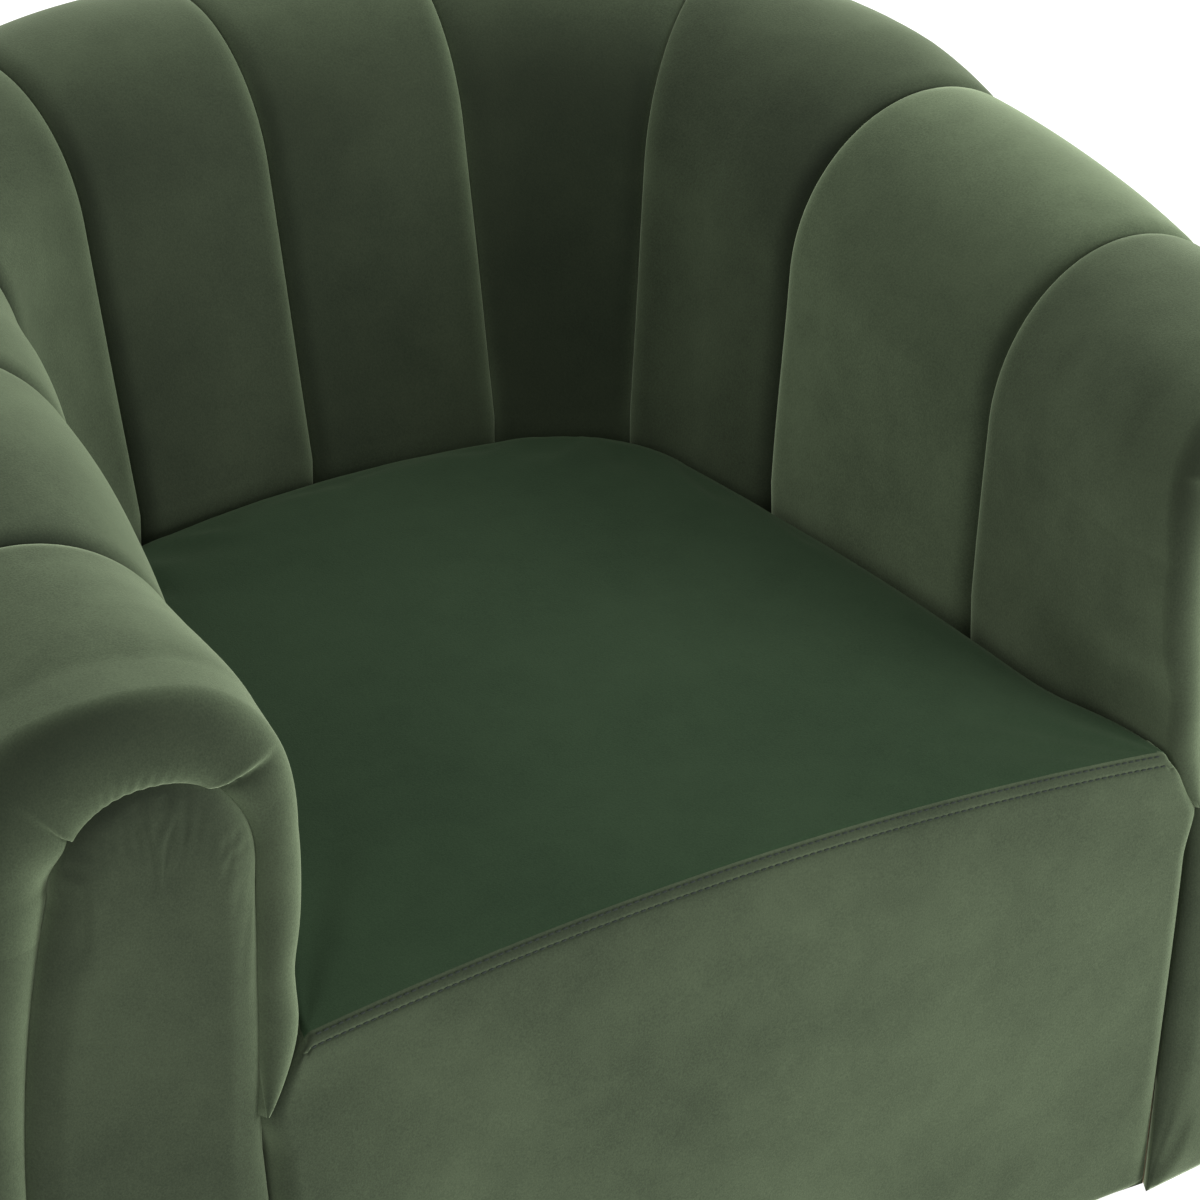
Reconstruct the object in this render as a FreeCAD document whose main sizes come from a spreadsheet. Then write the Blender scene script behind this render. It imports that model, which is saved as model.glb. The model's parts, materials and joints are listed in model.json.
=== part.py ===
import FreeCAD, Part
import Sketcher
import math
import os
import re

# Swivel barrel chair: a channelled barrel round a tight seat, on a round pedestal base.
# Millimetres. +Z is up, the chair faces -Y, and the origin is on the floor, on the swivel's axis.

Vector = FreeCAD.Vector

driving_sizes = [
    # Plan of the seat line, where the seat meets the barrel
    ("back_line", 128.0),
    ("seat_depth", 468.0),
    ("seat_front_half", 265.0),
    ("arm_splay", 9.4),
    ("back_radius", 830.0),
    ("corner_radius", 105.0),
    ("arm_overhang", 15.0),
    # Heights and leans of the barrel
    ("seat_line", 455.0),
    ("body_bottom", 140.0),
    ("back_rise", 232.0),
    ("arm_rise", 165.0),
    ("back_lean", 15.4),
    ("arm_lean", 4.6),
    # Channel pads, which roll over the rim
    ("roll_radius", 89.0),
    ("channel_crown", 9.0),
    ("pad_thickness", 23.0),
    ("pad_drop", 30.0),
    ("seam_gap", 0.4),
    ("band_round", 18.0),
    ("fit_gap", 0.3),
    # Wooden frame
    ("seat_frame_top", 352.0),
    ("board_thickness", 22.0),
    ("side_board_offset", 7.5),
    ("back_board_offset", 6.0),
    ("barrel_panel", 6.0),
    ("rail_thickness", 20.0),
    ("bottom_rail_offset", 78.0),
    ("post_offset", 80.0),
    ("post_depth", 44.0),
    ("post_width", 36.0),
    ("tie_height", 40.0),
    ("tie_drop", 10.0),
    ("wall_foot", 184.0),
    ("outside_set_in", 2.0),
    ("arm_board_thickness", 18.0),
    ("arm_panel_depth", 18.0),
    ("arm_panel_gap", 0.8),
    ("arm_panel_proud", 3.0),
    ("arm_panel_round", 7.0),
    # Seat
    ("crown_radius", 1850.0),
    ("crown_rise", 12.0),
    ("crown_forward", 200.0),
    ("seat_round", 10.0),
    ("strap_width", 50.0),
    ("strap_thickness", 2.0),
    ("strap_lap", 12.0),
    ("strap_side_gap", 33.0),
    ("cross_strap_pitch", 88.0),
    ("border_thickness", 20.0),
    ("border_lap", 6.0),
    ("border_wing_out", 28.5),
    ("border_neck_gap", 1.2),
    ("border_foot_in", 18.0),
    ("wing_above", 3.0),
    ("wing_drop", 62.0),
    ("wing_round", 22.0),
    ("front_recede", 10.0),
    ("border_bulge", 5.0),
    ("border_round", 8.0),
    # Pedestal base
    ("floor_pad_radius", 252.0),
    ("floor_pad_height", 3.0),
    ("base_radius", 260.0),
    ("base_edge", 6.0),
    ("base_chamfer", 2.0),
    ("base_centre", 13.0),
    ("column_radius", 38.0),
    ("column_wall", 6.0),
    ("flange_radius", 72.0),
    ("flange_thickness", 6.0),
    ("flange_ledge", 4.0),
    ("flange_bolt_radius", 56.0),
    ("bolt_radius", 4.0),
    ("bolt_head_radius", 7.0),
    ("bolt_head_height", 4.5),
    ("bolt_slack", 0.1),
    ("bolt_end_gap", 1.0),
    # Swivel bearing
    ("plate_thickness", 6.0),
    ("ball_radius", 5.0),
    ("ball_pitch", 82.0),
    ("race_gap", 0.1),
    ("plate_gap", 8.0),
    ("cage_thickness", 3.0),
    ("cage_half_width", 10.0),
    ("lower_plate_radius", 100.0),
    ("upper_plate_half", 125.0),
    ("upper_plate_corner", 20.0),
    ("plate_bolt_square", 100.0),
    ("spindle_radius", 12.5),
    ("spindle_flange", 30.0),
    ("bush_wall", 6.0),
    ("bush_length", 44.0),
    ("bush_collar", 3.0),
    ("bush_head", 12.0),
    ("running_gap", 0.05),
    ("clip_width", 2.0),
    ("clip_reach", 4.0),
    ("clip_gap", 0.4),
    ("mounting_board", 25.0),
    ("mounting_depth", 320.0),
    ("dust_cover", 1.0),
    ("cover_set_back", 25.0),
    ("tee_nut_radius", 11.0),
    ("tee_nut_flange", 2.0),
]
ball_count = 20
column_bolt_count = 4
long_strap_count = 5
cross_strap_count = 4
corner_seam_share = 0.582
turn_seam_share = 0.146
arm_seam_share = 0.593
back_post_share = 0.6
bolt_head_taper = 0.6

doc = FreeCAD.newDocument("SwivelBarrelChair")
sheet = doc.addObject("Spreadsheet::Sheet", "Sizes")
for row, (alias, value) in enumerate(driving_sizes, start=1):
    sheet.set("A%d" % row, alias)
    sheet.set("B%d" % row, str(value))
    sheet.setAlias("B%d" % row, alias)
doc.recompute()
size = {alias: float(sheet.get(alias)) for alias, value in driving_sizes}
sub_parts = []


# Documents, bodies and sketches

def expression(text):
    # A word of the expression that names a size is read from the sheet.
    return re.sub("[a-z_]+", lambda word: "Sizes." + word[0] if word[0] in size else word[0], text)


def origin_feature(body, role):
    return [feature for feature in body.Origin.OriginFeatures if feature.Role == role][0]


def new_body(label):
    body = doc.addObject("PartDesign::Body", label)
    body.Label = label
    sub_parts.append(body)
    return body


def new_sketch(body, role, height="0"):
    sketch = body.newObject("Sketcher::SketchObject", body.Label + "_sketch")
    sketch.AttachmentSupport = [(origin_feature(body, role), "")]
    sketch.MapMode = "FlatFace"
    sketch.setExpression("AttachmentOffset.Base.z", expression(height))
    return sketch


def pin_point(sketch, geometry, point, across, up):
    for kind, text in (("DistanceX", across), ("DistanceY", up)):
        value = sketch.evalExpression(expression(text))
        index = sketch.addConstraint(Sketcher.Constraint(kind, -1, 1, geometry, point, float(value)))
        sketch.setExpression("Constraints[%d]" % index, expression(text))


def draw_outline(sketch, corners):
    # A closed outline whose corners are given as expressions of the driving sizes.
    points = []
    for across, up in corners:
        x = float(sketch.evalExpression(expression(across)))
        y = float(sketch.evalExpression(expression(up)))
        points.append(Vector(x, y, 0))
    first = len(sketch.Geometry)
    count = len(points)
    for i in range(count):
        sketch.addGeometry(Part.LineSegment(points[i], points[(i + 1) % count]))
    for i in range(count):
        sketch.addConstraint(Sketcher.Constraint("Coincident", first + i, 2, first + (i + 1) % count, 1))
    for i, (across, up) in enumerate(corners):
        pin_point(sketch, first + i, 1, across, up)


def draw_circle(sketch, across, up, radius):
    x = float(sketch.evalExpression(expression(across)))
    y = float(sketch.evalExpression(expression(up)))
    r = float(sketch.evalExpression(expression(radius)))
    circle = sketch.addGeometry(Part.Circle(Vector(x, y, 0), Vector(0, 0, 1), r))
    pin_point(sketch, circle, 3, across, up)
    index = sketch.addConstraint(Sketcher.Constraint("Radius", circle, r))
    sketch.setExpression("Constraints[%d]" % index, expression(radius))


def turned(body, corners):
    # A profile of radius and height, turned about the swivel's axis.
    sketch = new_sketch(body, "XZ_Plane")
    draw_outline(sketch, corners)
    turn = body.newObject("PartDesign::Revolution", body.Label + "_turn")
    turn.Profile = sketch
    turn.ReferenceAxis = (sketch, ["V_Axis"])
    turn.Angle = 360
    return turn


def padded(body, sketch, length):
    pad = body.newObject("PartDesign::Pad", body.Label + "_pad")
    pad.Profile = sketch
    pad.setExpression("Length", expression(length))
    return pad


def drilled(body, centres, radius, height):
    # Holes right through, parallel to the swivel's axis.
    sketch = new_sketch(body, "XY_Plane", height)
    for across, up in centres:
        draw_circle(sketch, across, up, radius)
    pocket = body.newObject("PartDesign::Pocket", body.Label + "_holes")
    pocket.Profile = sketch
    pocket.Type = "ThroughAll"
    pocket.SideType = "Symmetric"
    return pocket


def repeated_round(body, feature, count):
    pattern = body.newObject("PartDesign::PolarPattern", body.Label + "_round")
    pattern.Originals = [feature]
    pattern.Axis = (origin_feature(body, "Z_Axis"), [""])
    pattern.Angle = 360
    pattern.Occurrences = count
    body.Tip = pattern


def cut_race(body, height):
    # The ball race, a round groove under or over the balls.
    sketch = new_sketch(body, "XZ_Plane")
    draw_circle(sketch, "ball_pitch", height, "ball_radius + race_gap")
    groove = body.newObject("PartDesign::Groove", body.Label + "_race")
    groove.Profile = sketch
    groove.ReferenceAxis = (sketch, ["V_Axis"])
    groove.Angle = 360
    body.Tip = groove


def shaped(label, shape):
    part = doc.addObject("Part::Feature", label)
    part.Label = label
    part.Shape = shape
    part.Placement = FreeCAD.Placement()
    sub_parts.append(part)
    return part


# Plan of the barrel: back arc, corner arc and straight splayed arm

splay = math.radians(size["arm_splay"])
front_line = size["back_line"] - size["seat_depth"]
back_centre = Vector(0, size["back_line"] - size["back_radius"], 0)
arm_normal = Vector(math.cos(splay), math.sin(splay), 0)
arm_forward = Vector(math.sin(splay), -math.cos(splay), 0)
arm_front_point = Vector(size["seat_front_half"], front_line, 0)
corner_start = arm_front_point - arm_normal * size["corner_radius"]
reach = corner_start - back_centre
along_arm = -arm_forward.dot(reach)
room = reach.dot(reach) - (size["back_radius"] - size["corner_radius"]) ** 2
arm_length = -along_arm + math.sqrt(along_arm ** 2 - room)
corner_centre = corner_start - arm_forward * arm_length
back_turn = math.atan2(corner_centre.x, corner_centre.y - back_centre.y)
corner_turn = math.pi / 2 - splay - back_turn
back_end = size["back_radius"] * back_turn
corner_end = back_end + size["corner_radius"] * corner_turn
arm_end = corner_end + arm_length + size["arm_overhang"]


class Station:
    # A place along the seat line, measured from the back's middle; left of it is negative.
    def __init__(self, travel):
        distance = abs(travel)
        if distance <= back_end:
            turn = distance / size["back_radius"]
            self.normal = Vector(math.sin(turn), math.cos(turn), 0)
            self.point = back_centre + self.normal * size["back_radius"]
        elif distance <= corner_end:
            turn = back_turn + (distance - back_end) / size["corner_radius"]
            self.normal = Vector(math.sin(turn), math.cos(turn), 0)
            self.point = corner_centre + self.normal * size["corner_radius"]
        else:
            self.normal = Vector(arm_normal)
            start = corner_centre + arm_normal * size["corner_radius"]
            self.point = start + arm_forward * (distance - corner_end)
        self.lean = math.radians(
            size["arm_lean"] + (size["back_lean"] - size["arm_lean"]) * self.normal.y ** 2)
        along = (self.point.y - front_line) / size["seat_depth"]
        rise = size["arm_rise"] + (size["back_rise"] - size["arm_rise"]) * along
        if travel < 0:
            self.normal.x = -self.normal.x
            self.point.x = -self.point.x
        # The rim's roll is a circle that the leaning inner face runs into.
        radius = size["roll_radius"]
        slope = (rise - radius * (1 - math.sin(self.lean))) / math.cos(self.lean)
        self.roll_out = slope * math.sin(self.lean) + radius * math.cos(self.lean)
        self.roll_up = size["seat_line"] + slope * math.cos(self.lean) - radius * math.sin(self.lean)

    def at(self, out, up):
        spot = self.point + self.normal * out
        return Vector(spot.x, spot.y, up)

    def on_roll(self, radius, angle):
        return self.at(self.roll_out + radius * math.cos(angle), self.roll_up + radius * math.sin(angle))

    def face(self, depth, up):
        # A point this deep behind the inner face; the face is upright below the seat line.
        above = max(up - size["seat_line"], 0.0)
        return self.at(depth / math.cos(self.lean) + above * math.tan(self.lean), up)


def line(start, end):
    return Part.LineSegment(start, end).toShape()


def roll_arc(station, radius, start, end):
    middle = station.on_roll(radius, (start + end) / 2)
    return Part.Arc(station.on_roll(radius, start), middle, station.on_roll(radius, end)).toShape()


def polygon(points):
    return Part.Wire([line(points[i], points[(i + 1) % len(points)]) for i in range(len(points))])


def lofted(sections):
    solid = Part.makeLoft(sections, True, False)
    if solid.Volume < 0:
        solid.reverse()
    return solid


def spread(start, end, steps):
    return [start + (end - start) * i / steps for i in range(steps + 1)]


def wall_stops(start, end):
    # Places along the barrel from start to end, closer together where its curve changes.
    grid = [back_end * (1 - (1 - share) ** 2) for share in spread(0.0, 1.0, 5)]
    grid += spread(back_end, corner_end, 12)
    grid += [corner_end + (arm_end - corner_end) * share ** 2 for share in spread(0.0, 1.0, 10)]
    grid += [-stop for stop in grid]
    least_step = 2.0
    stops = [start]
    for stop in sorted(grid):
        if stops[-1] + least_step < stop < end - least_step:
            stops.append(stop)
    return stops + [end]


def mirrored(shape):
    return shape.mirror(Vector(0, 0, 0), Vector(1, 0, 0))


# Channel pads

core_radius = size["roll_radius"] - size["pad_thickness"]
pad_bottom = size["seat_frame_top"] + 2 * size["strap_thickness"] + 3 * size["fit_gap"]


def pad_section(travel, crown):
    station = Station(travel)
    outer = size["roll_radius"] + crown
    tangent = math.pi - station.lean
    top = math.pi / 2
    outside = station.roll_out
    hem = station.roll_up - size["pad_drop"]
    hem_radius = size["roll_radius"] + min(crown, 0.0)
    low_in = station.face(-crown, pad_bottom)
    low_back = station.face(size["pad_thickness"], pad_bottom)
    knee_in = station.face(-crown, size["seat_line"])
    knee_back = station.face(size["pad_thickness"], size["seat_line"])
    edges = [
        line(low_in, knee_in),
        line(knee_in, station.on_roll(outer, tangent)),
        roll_arc(station, outer, tangent, top),
        roll_arc(station, outer, top, 0),
        line(station.on_roll(outer, 0), station.at(outside + hem_radius, hem)),
        line(station.at(outside + hem_radius, hem), station.at(outside + core_radius, hem)),
        line(station.at(outside + core_radius, hem), station.on_roll(core_radius, 0)),
        roll_arc(station, core_radius, 0, top),
        roll_arc(station, core_radius, top, tangent),
        line(station.on_roll(core_radius, tangent), knee_back),
        line(knee_back, low_back),
        line(low_back, low_in),
    ]
    return Part.Wire(edges)


def swell(share):
    # How full a channel is across its width: sharp at the seams, flat in the middle.
    return size["channel_crown"] * math.sqrt(1 - abs(2 * share - 1) ** 3)


# The first seam is where the back arc ends, and the others are at shares of the corner and of the arm.
seams = [
    0.0, back_end, back_end + corner_seam_share * (corner_end - back_end),
    corner_end + turn_seam_share * arm_length, corner_end + arm_seam_share * arm_length]
seam_shares = (0.0, 0.03, 0.1, 0.2, 0.35, 0.5, 0.65, 0.8, 0.9, 0.97, 1.0)

for number, (start, end) in enumerate(zip(seams[:-1], seams[1:]), start=1):
    inner_start = start + size["seam_gap"] / 2
    inner_end = end - size["seam_gap"] / 2
    pad_shape = lofted([
        pad_section(inner_start + (inner_end - inner_start) * share, swell(share)) for share in seam_shares])
    shaped("channel_right_%d" % number, pad_shape)
    shaped("channel_left_%d" % number, mirrored(pad_shape))

# The front channel turns in round the arm's front panel with a rounded edge.
front_start = seams[-1] + size["seam_gap"] / 2
front_length = arm_end - front_start
front_sections = [pad_section(front_start + front_length * share, swell(share)) for share in seam_shares[:6]]
turn_start = arm_end - size["band_round"]
for share in (0.35, 0.7):
    travel = front_start + front_length / 2 + (turn_start - front_start - front_length / 2) * share
    front_sections.append(pad_section(travel, size["channel_crown"]))
for angle in spread(0.0, math.pi / 2, 6):
    drawn_in = size["band_round"] * (1 - math.cos(angle))
    front_sections.append(
        pad_section(turn_start + size["band_round"] * math.sin(angle), size["channel_crown"] - drawn_in))
front_channel = lofted(front_sections)


# Barrel frame: rim roll, rails, panels, posts and ties

board_back = arm_end - size["arm_panel_depth"] - size["arm_board_thickness"] + size["arm_panel_proud"]
corner_split = (seams[1] + seams[2]) / 2
wall_spans = {
    "left": (-board_back + size["fit_gap"], -corner_split),
    "back": (-corner_split + size["fit_gap"], corner_split - size["fit_gap"]),
    "right": (corner_split, board_back - size["fit_gap"]),
}


def rim_foam_section(travel):
    station = Station(travel)
    radius = core_radius - 2 * size["fit_gap"]
    top = math.pi / 2
    return Part.Wire([
        roll_arc(station, radius, math.pi, top),
        roll_arc(station, radius, top, 0),
        line(station.on_roll(radius, 0), station.on_roll(radius, math.pi)),
    ])


def rim_rail_section(travel):
    station = Station(travel)
    top = station.roll_up - size["fit_gap"]
    bottom = top - size["rail_thickness"]
    behind_panel = size["pad_thickness"] + size["barrel_panel"] + 4 * size["fit_gap"]
    outside = station.roll_out + core_radius - size["fit_gap"]
    return polygon([
        station.face(behind_panel, bottom),
        station.at(outside, bottom),
        station.at(outside, top),
        station.face(behind_panel, top),
    ])


def barrel_panel_section(travel):
    station = Station(travel)
    front = size["pad_thickness"] + size["fit_gap"]
    rear = front + size["barrel_panel"]
    top = station.roll_up - size["fit_gap"]
    bottom = size["seat_frame_top"] + 2 * size["strap_thickness"] + size["fit_gap"]
    return polygon([
        station.face(front, bottom),
        station.face(front, size["seat_line"]),
        station.face(front, top),
        station.face(rear, top),
        station.face(rear, size["seat_line"]),
        station.face(rear, bottom),
    ])


outside_thickness = size["pad_thickness"] - size["outside_set_in"] - size["fit_gap"]


def outside_section(travel, drawn_in=0.0):
    station = Station(travel)
    top = station.roll_up - size["pad_drop"] - size["fit_gap"]
    inner_top = station.roll_out + core_radius + size["fit_gap"]
    inner_foot = size["wall_foot"] - outside_thickness
    return polygon([
        station.at(inner_foot, size["body_bottom"]),
        station.at(size["wall_foot"] - drawn_in, size["body_bottom"]),
        station.at(inner_top + outside_thickness - drawn_in, top),
        station.at(inner_top, top),
    ])


def bottom_rail_section(travel):
    station = Station(travel)
    inner = size["bottom_rail_offset"]
    outer = size["wall_foot"] - outside_thickness - 2 * size["fit_gap"]
    low = size["body_bottom"]
    high = low + size["rail_thickness"]
    return polygon([station.at(inner, low), station.at(outer, low), station.at(outer, high), station.at(inner, high)])


for side, (start, end) in wall_spans.items():
    stops = wall_stops(start, end)
    shaped("rim_foam_" + side, lofted([rim_foam_section(stop) for stop in stops]))
    shaped("rim_rail_" + side, lofted([rim_rail_section(stop) for stop in stops]))
    shaped("barrel_panel_" + side, lofted([barrel_panel_section(stop) for stop in stops]))
    shaped("bottom_rail_" + side, lofted([bottom_rail_section(stop) for stop in stops]))

back_stops = wall_stops(*wall_spans["back"])
shaped("outside_panel_back", lofted([outside_section(stop) for stop in back_stops]))
outside_sections = [outside_section(stop) for stop in wall_stops(corner_split, turn_start)]
for angle in spread(0.0, math.pi / 2, 3)[1:]:
    drawn_in = (outside_thickness - size["outside_set_in"]) * (1 - math.cos(angle))
    outside_sections.append(outside_section(turn_start + size["band_round"] * math.sin(angle), drawn_in))
outside_right = lofted(outside_sections)
shaped("outside_panel_right", outside_right)
shaped("outside_panel_left", mirrored(outside_right))

post_places = [seams[1] * back_post_share, seams[2], seams[3], seams[4]]
tie_places = [seams[3], seams[4]]


def upright(travel, inner, outer, low, high_of):
    # A post or block squared to the barrel at one place along it.
    half = size["post_width"] / 2
    sections = []
    for stop in (travel - half, travel + half):
        station = Station(stop)
        high = high_of(station)
        sections.append(polygon([
            station.at(inner, low), station.at(outer, low), station.at(outer, high), station.at(inner, high)]))
    return Part.makeLoft(sections, True, True)


posts = []
for place in post_places:
    post = upright(
        place, size["post_offset"], size["post_offset"] + size["post_depth"],
        size["body_bottom"] + size["rail_thickness"],
        lambda station: station.roll_up - size["rail_thickness"] - 2 * size["fit_gap"])
    posts += [post, mirrored(post)]
shaped("wall_posts", Part.makeCompound(posts))

ties = []
tie_top = size["seat_frame_top"] - size["tie_drop"]
for place in tie_places:
    tie = upright(
        place, size["side_board_offset"] + size["board_thickness"] + 2 * size["fit_gap"],
        size["post_offset"] - size["fit_gap"],
        tie_top - size["tie_height"], lambda station: tie_top)
    ties += [tie, mirrored(tie)]
shaped("tie_blocks", Part.makeCompound(ties))


# Arm fronts

def arm_front_face(travel, radius, low, toe_in):
    # A tall arch, concentric with the rim's roll at the arm's front, with its foot widened toward the seat.
    station = Station(arm_end)
    place = Station(travel)
    shift = place.point - station.point
    top = math.pi / 2
    toe = station.at(station.roll_out - radius - toe_in, low)
    heel = station.at(station.roll_out + radius, low)
    inner_corners = [toe, station.on_roll(radius, math.pi)]
    if toe_in > 0:
        inner_corners.insert(1, station.at(station.roll_out - radius, pad_bottom))
    edges = [line(start, end) for start, end in zip(inner_corners, inner_corners[1:])]
    edges += [
        roll_arc(station, radius, math.pi, top),
        roll_arc(station, radius, top, 0),
        line(station.on_roll(radius, 0), heel),
        line(heel, toe),
    ]
    face = Part.Face(Part.Wire(edges))
    face.translate(shift)
    return face


board_radius = core_radius - size["arm_panel_gap"]
arm_board = arm_front_face(board_back, board_radius, size["body_bottom"], 0.0)
arm_board = arm_board.extrude(arm_forward * size["arm_board_thickness"])
shaped("arm_board_right", arm_board)
shaped("arm_board_left", mirrored(arm_board))

panel_back = board_back + size["arm_board_thickness"] + size["fit_gap"]
panel_low = size["body_bottom"] + 2 * size["fit_gap"]
arm_panel = arm_front_face(panel_back, board_radius, panel_low, size["border_foot_in"])
arm_panel = arm_panel.extrude(arm_forward * size["arm_panel_depth"])
arm_top = Station(arm_end).roll_up + core_radius
recede_angle = math.atan(size["front_recede"] / (arm_top - size["body_bottom"]))
front_normal = arm_forward * math.cos(recede_angle) - Vector(0, 0, 1) * math.sin(recede_angle)
front_place = Station(panel_back + size["arm_panel_depth"]).at(Station(arm_end).roll_out, arm_top)
cutting_plane = Part.makePlane(2 * arm_top, 2 * arm_top, front_place, front_normal)
cutting_plane.translate(front_place - cutting_plane.CenterOfMass)
arm_panel = arm_panel.cut(cutting_plane.extrude(front_normal * arm_top))
front_edges = [
    edge for edge in arm_panel.Edges
    if all(abs((vertex.Point - front_place).dot(front_normal)) < 0.01 for vertex in edge.Vertexes)]
arm_panel = arm_panel.makeFillet(size["arm_panel_round"], front_edges)
shaped("arm_panel_right", arm_panel)
shaped("arm_panel_left", mirrored(arm_panel))


# Seat pad and front border, both under one shallow dome

crown_centre = Vector(
    0, size["back_line"] - size["crown_forward"], size["seat_line"] + size["crown_rise"] - size["crown_radius"])
crown_ball = Part.makeSphere(size["crown_radius"], crown_centre)
seat_gap = size["channel_crown"] / math.cos(math.radians(size["back_lean"])) + 3 * size["fit_gap"]
seat_bottom = size["seat_frame_top"] + 2 * size["strap_thickness"] + size["fit_gap"]
seat_front = front_line + size["border_lap"]


def plan_arc(centre, radius, start, end):
    angles = (start, (start + end) / 2, end)
    points = [Vector(centre.x + radius * math.sin(a), centre.y + radius * math.cos(a), 0) for a in angles]
    return Part.Arc(*points).toShape()


def barrel_outline(out, front):
    # The barrel's plan, this far outside the seat line, closed by a straight front.
    half_turn = back_turn + corner_turn
    mirror_centre = Vector(-corner_centre.x, corner_centre.y, 0)
    arm_start = corner_centre + arm_normal * (size["corner_radius"] + out)
    arm_stop = arm_start + arm_forward * ((arm_start.y - front) / -arm_forward.y)
    left_start = Vector(-arm_start.x, arm_start.y, 0)
    left_stop = Vector(-arm_stop.x, arm_stop.y, 0)
    return Part.Wire([
        line(left_stop, left_start),
        plan_arc(mirror_centre, size["corner_radius"] + out, -half_turn, -back_turn),
        plan_arc(back_centre, size["back_radius"] + out, -back_turn, back_turn),
        plan_arc(corner_centre, size["corner_radius"] + out, back_turn, half_turn),
        line(arm_start, arm_stop),
        line(arm_stop, left_stop),
    ])


def domed(face, height):
    return face.extrude(height).common(crown_ball)


def top_edges(shape, floor):
    # Edges of the domed top, all of which lie above this height.
    return [edge for edge in shape.Edges if edge.BoundBox.ZMin > floor]


headroom = Vector(0, 0, size["seat_line"] + size["crown_rise"])
seat_face = Part.Face(barrel_outline(-seat_gap, seat_front))
seat_face.translate(Vector(0, 0, seat_bottom))
seat_pad = domed(seat_face, headroom)
seat_pad = seat_pad.makeFillet(
    size["seat_round"],
    [edge for edge in top_edges(seat_pad, seat_bottom + size["fit_gap"])
     if edge.BoundBox.YMax > seat_front + size["seat_round"]])
shaped("seat_pad", seat_pad)

border_back = seat_front - size["fit_gap"]
border_low = size["body_bottom"] + 2 * size["fit_gap"]
neck_half = size["seat_front_half"] - seat_gap - size["border_neck_gap"]
wing_half = size["seat_front_half"] + size["border_wing_out"]
neck_reach = neck_half ** 2 + (border_back - crown_centre.y) ** 2
neck_top = crown_centre.z + math.sqrt(size["crown_radius"] ** 2 - neck_reach)


def border_outline(grow):
    # Straight neck between the arms, slanting into round-shouldered wings over the front channels' ends.
    # Below the shoulders the border narrows to its foot.
    neck = neck_half + grow
    wing = wing_half + grow
    start = neck_top + size["wing_above"] + grow
    slant = math.atan2(wing - neck, size["wing_drop"])
    shoulder = start - size["wing_drop"] - size["wing_round"] * math.tan(slant / 2)
    narrowing = math.atan2(size["border_foot_in"], shoulder - border_low)

    def spot(across, up):
        return Vector(across, border_back, up)

    def on_shoulder(side, angle):
        across = wing - size["wing_round"] * (1 - math.cos(angle))
        return spot(side * across, shoulder + size["wing_round"] * math.sin(angle))

    def shoulder_arc(side):
        middle = (slant - narrowing) / 2
        return Part.Arc(
            on_shoulder(side, -narrowing), on_shoulder(side, middle), on_shoulder(side, slant)).toShape()

    low_shoulder = on_shoulder(1, -narrowing)
    foot = low_shoulder.x - (low_shoulder.z - border_low) * math.tan(narrowing)
    return Part.Wire([
        line(spot(-foot, border_low), spot(foot, border_low)),
        line(spot(foot, border_low), on_shoulder(1, -narrowing)),
        shoulder_arc(1),
        line(on_shoulder(1, slant), spot(neck, start)),
        line(spot(neck, start), spot(neck, headroom.z)),
        line(spot(neck, headroom.z), spot(-neck, headroom.z)),
        line(spot(-neck, headroom.z), spot(-neck, start)),
        line(spot(-neck, start), on_shoulder(-1, slant)),
        shoulder_arc(-1),
        line(on_shoulder(-1, -narrowing), spot(-foot, border_low)),
    ])


border_depth = Vector(0, -size["border_thickness"] - size["border_bulge"], 0)
border = domed(Part.Face(border_outline(0.0)), border_depth)
# The front swells across and recedes toward the bottom: it is cut from a wide tilted drum.
drum_radius = wing_half ** 2 / (2 * size["border_bulge"])
drum_front = border_back + border_depth.y
drum = Part.makeCylinder(drum_radius, headroom.z * 2, Vector(0, drum_front + drum_radius, -headroom.z / 2))
tilt = math.degrees(math.atan(size["front_recede"] / (size["seat_line"] - size["body_bottom"])))
drum.rotate(Vector(0, drum_front, size["seat_line"]), Vector(1, 0, 0), tilt)
border = border.common(drum)
border_edges = [
    edge for edge in border.Edges if edge.BoundBox.YMax < border_back - size["border_round"] / 2]
border = border.makeFillet(size["border_round"], border_edges)
shaped("seat_border", border)

wing_room = Part.Face(border_outline(2 * size["fit_gap"])).extrude(border_depth * 3)
wing_room.translate(Vector(0, 2 * size["fit_gap"], 0))
front_channel = front_channel.cut(wing_room)
shaped("channel_right_5", front_channel)
shaped("channel_left_5", mirrored(front_channel))


# Webbing under the seat, two crossing layers of straps on the boards' tops

def arm_face(out, y):
    # Distance from the middle to a plane this far outside the arm's seat line, at this depth.
    return size["seat_front_half"] - (y - front_line) * math.tan(splay) + out / math.cos(splay)


front_board_back = front_line + size["border_lap"] + size["board_thickness"]
back_board_front = size["back_line"] + size["back_board_offset"]
strap_start = front_board_back - size["strap_lap"]
strap_length = back_board_front + size["strap_lap"] - strap_start
half_strap = size["strap_width"] / 2
outer_strap = arm_face(size["side_board_offset"], back_board_front) - size["strap_side_gap"] - half_strap
long_straps = []
for middle in spread(-outer_strap, outer_strap, long_strap_count - 1):
    corner = Vector(middle - half_strap, strap_start, size["seat_frame_top"])
    long_straps.append(Part.makeBox(size["strap_width"], strap_length, size["strap_thickness"], corner))
shaped("webbing_long", Part.makeCompound(long_straps))
cross_straps = []
cross_start = (front_board_back + back_board_front - (cross_strap_count - 1) * size["cross_strap_pitch"]) / 2
for i in range(cross_strap_count):
    middle = cross_start + i * size["cross_strap_pitch"]
    half = arm_face(size["side_board_offset"], middle - half_strap)
    corner = Vector(-half, middle - half_strap, size["seat_frame_top"] + size["strap_thickness"])
    cross_straps.append(Part.makeBox(2 * half, size["strap_width"], size["strap_thickness"], corner))
shaped("webbing_cross", Part.makeCompound(cross_straps))


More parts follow.
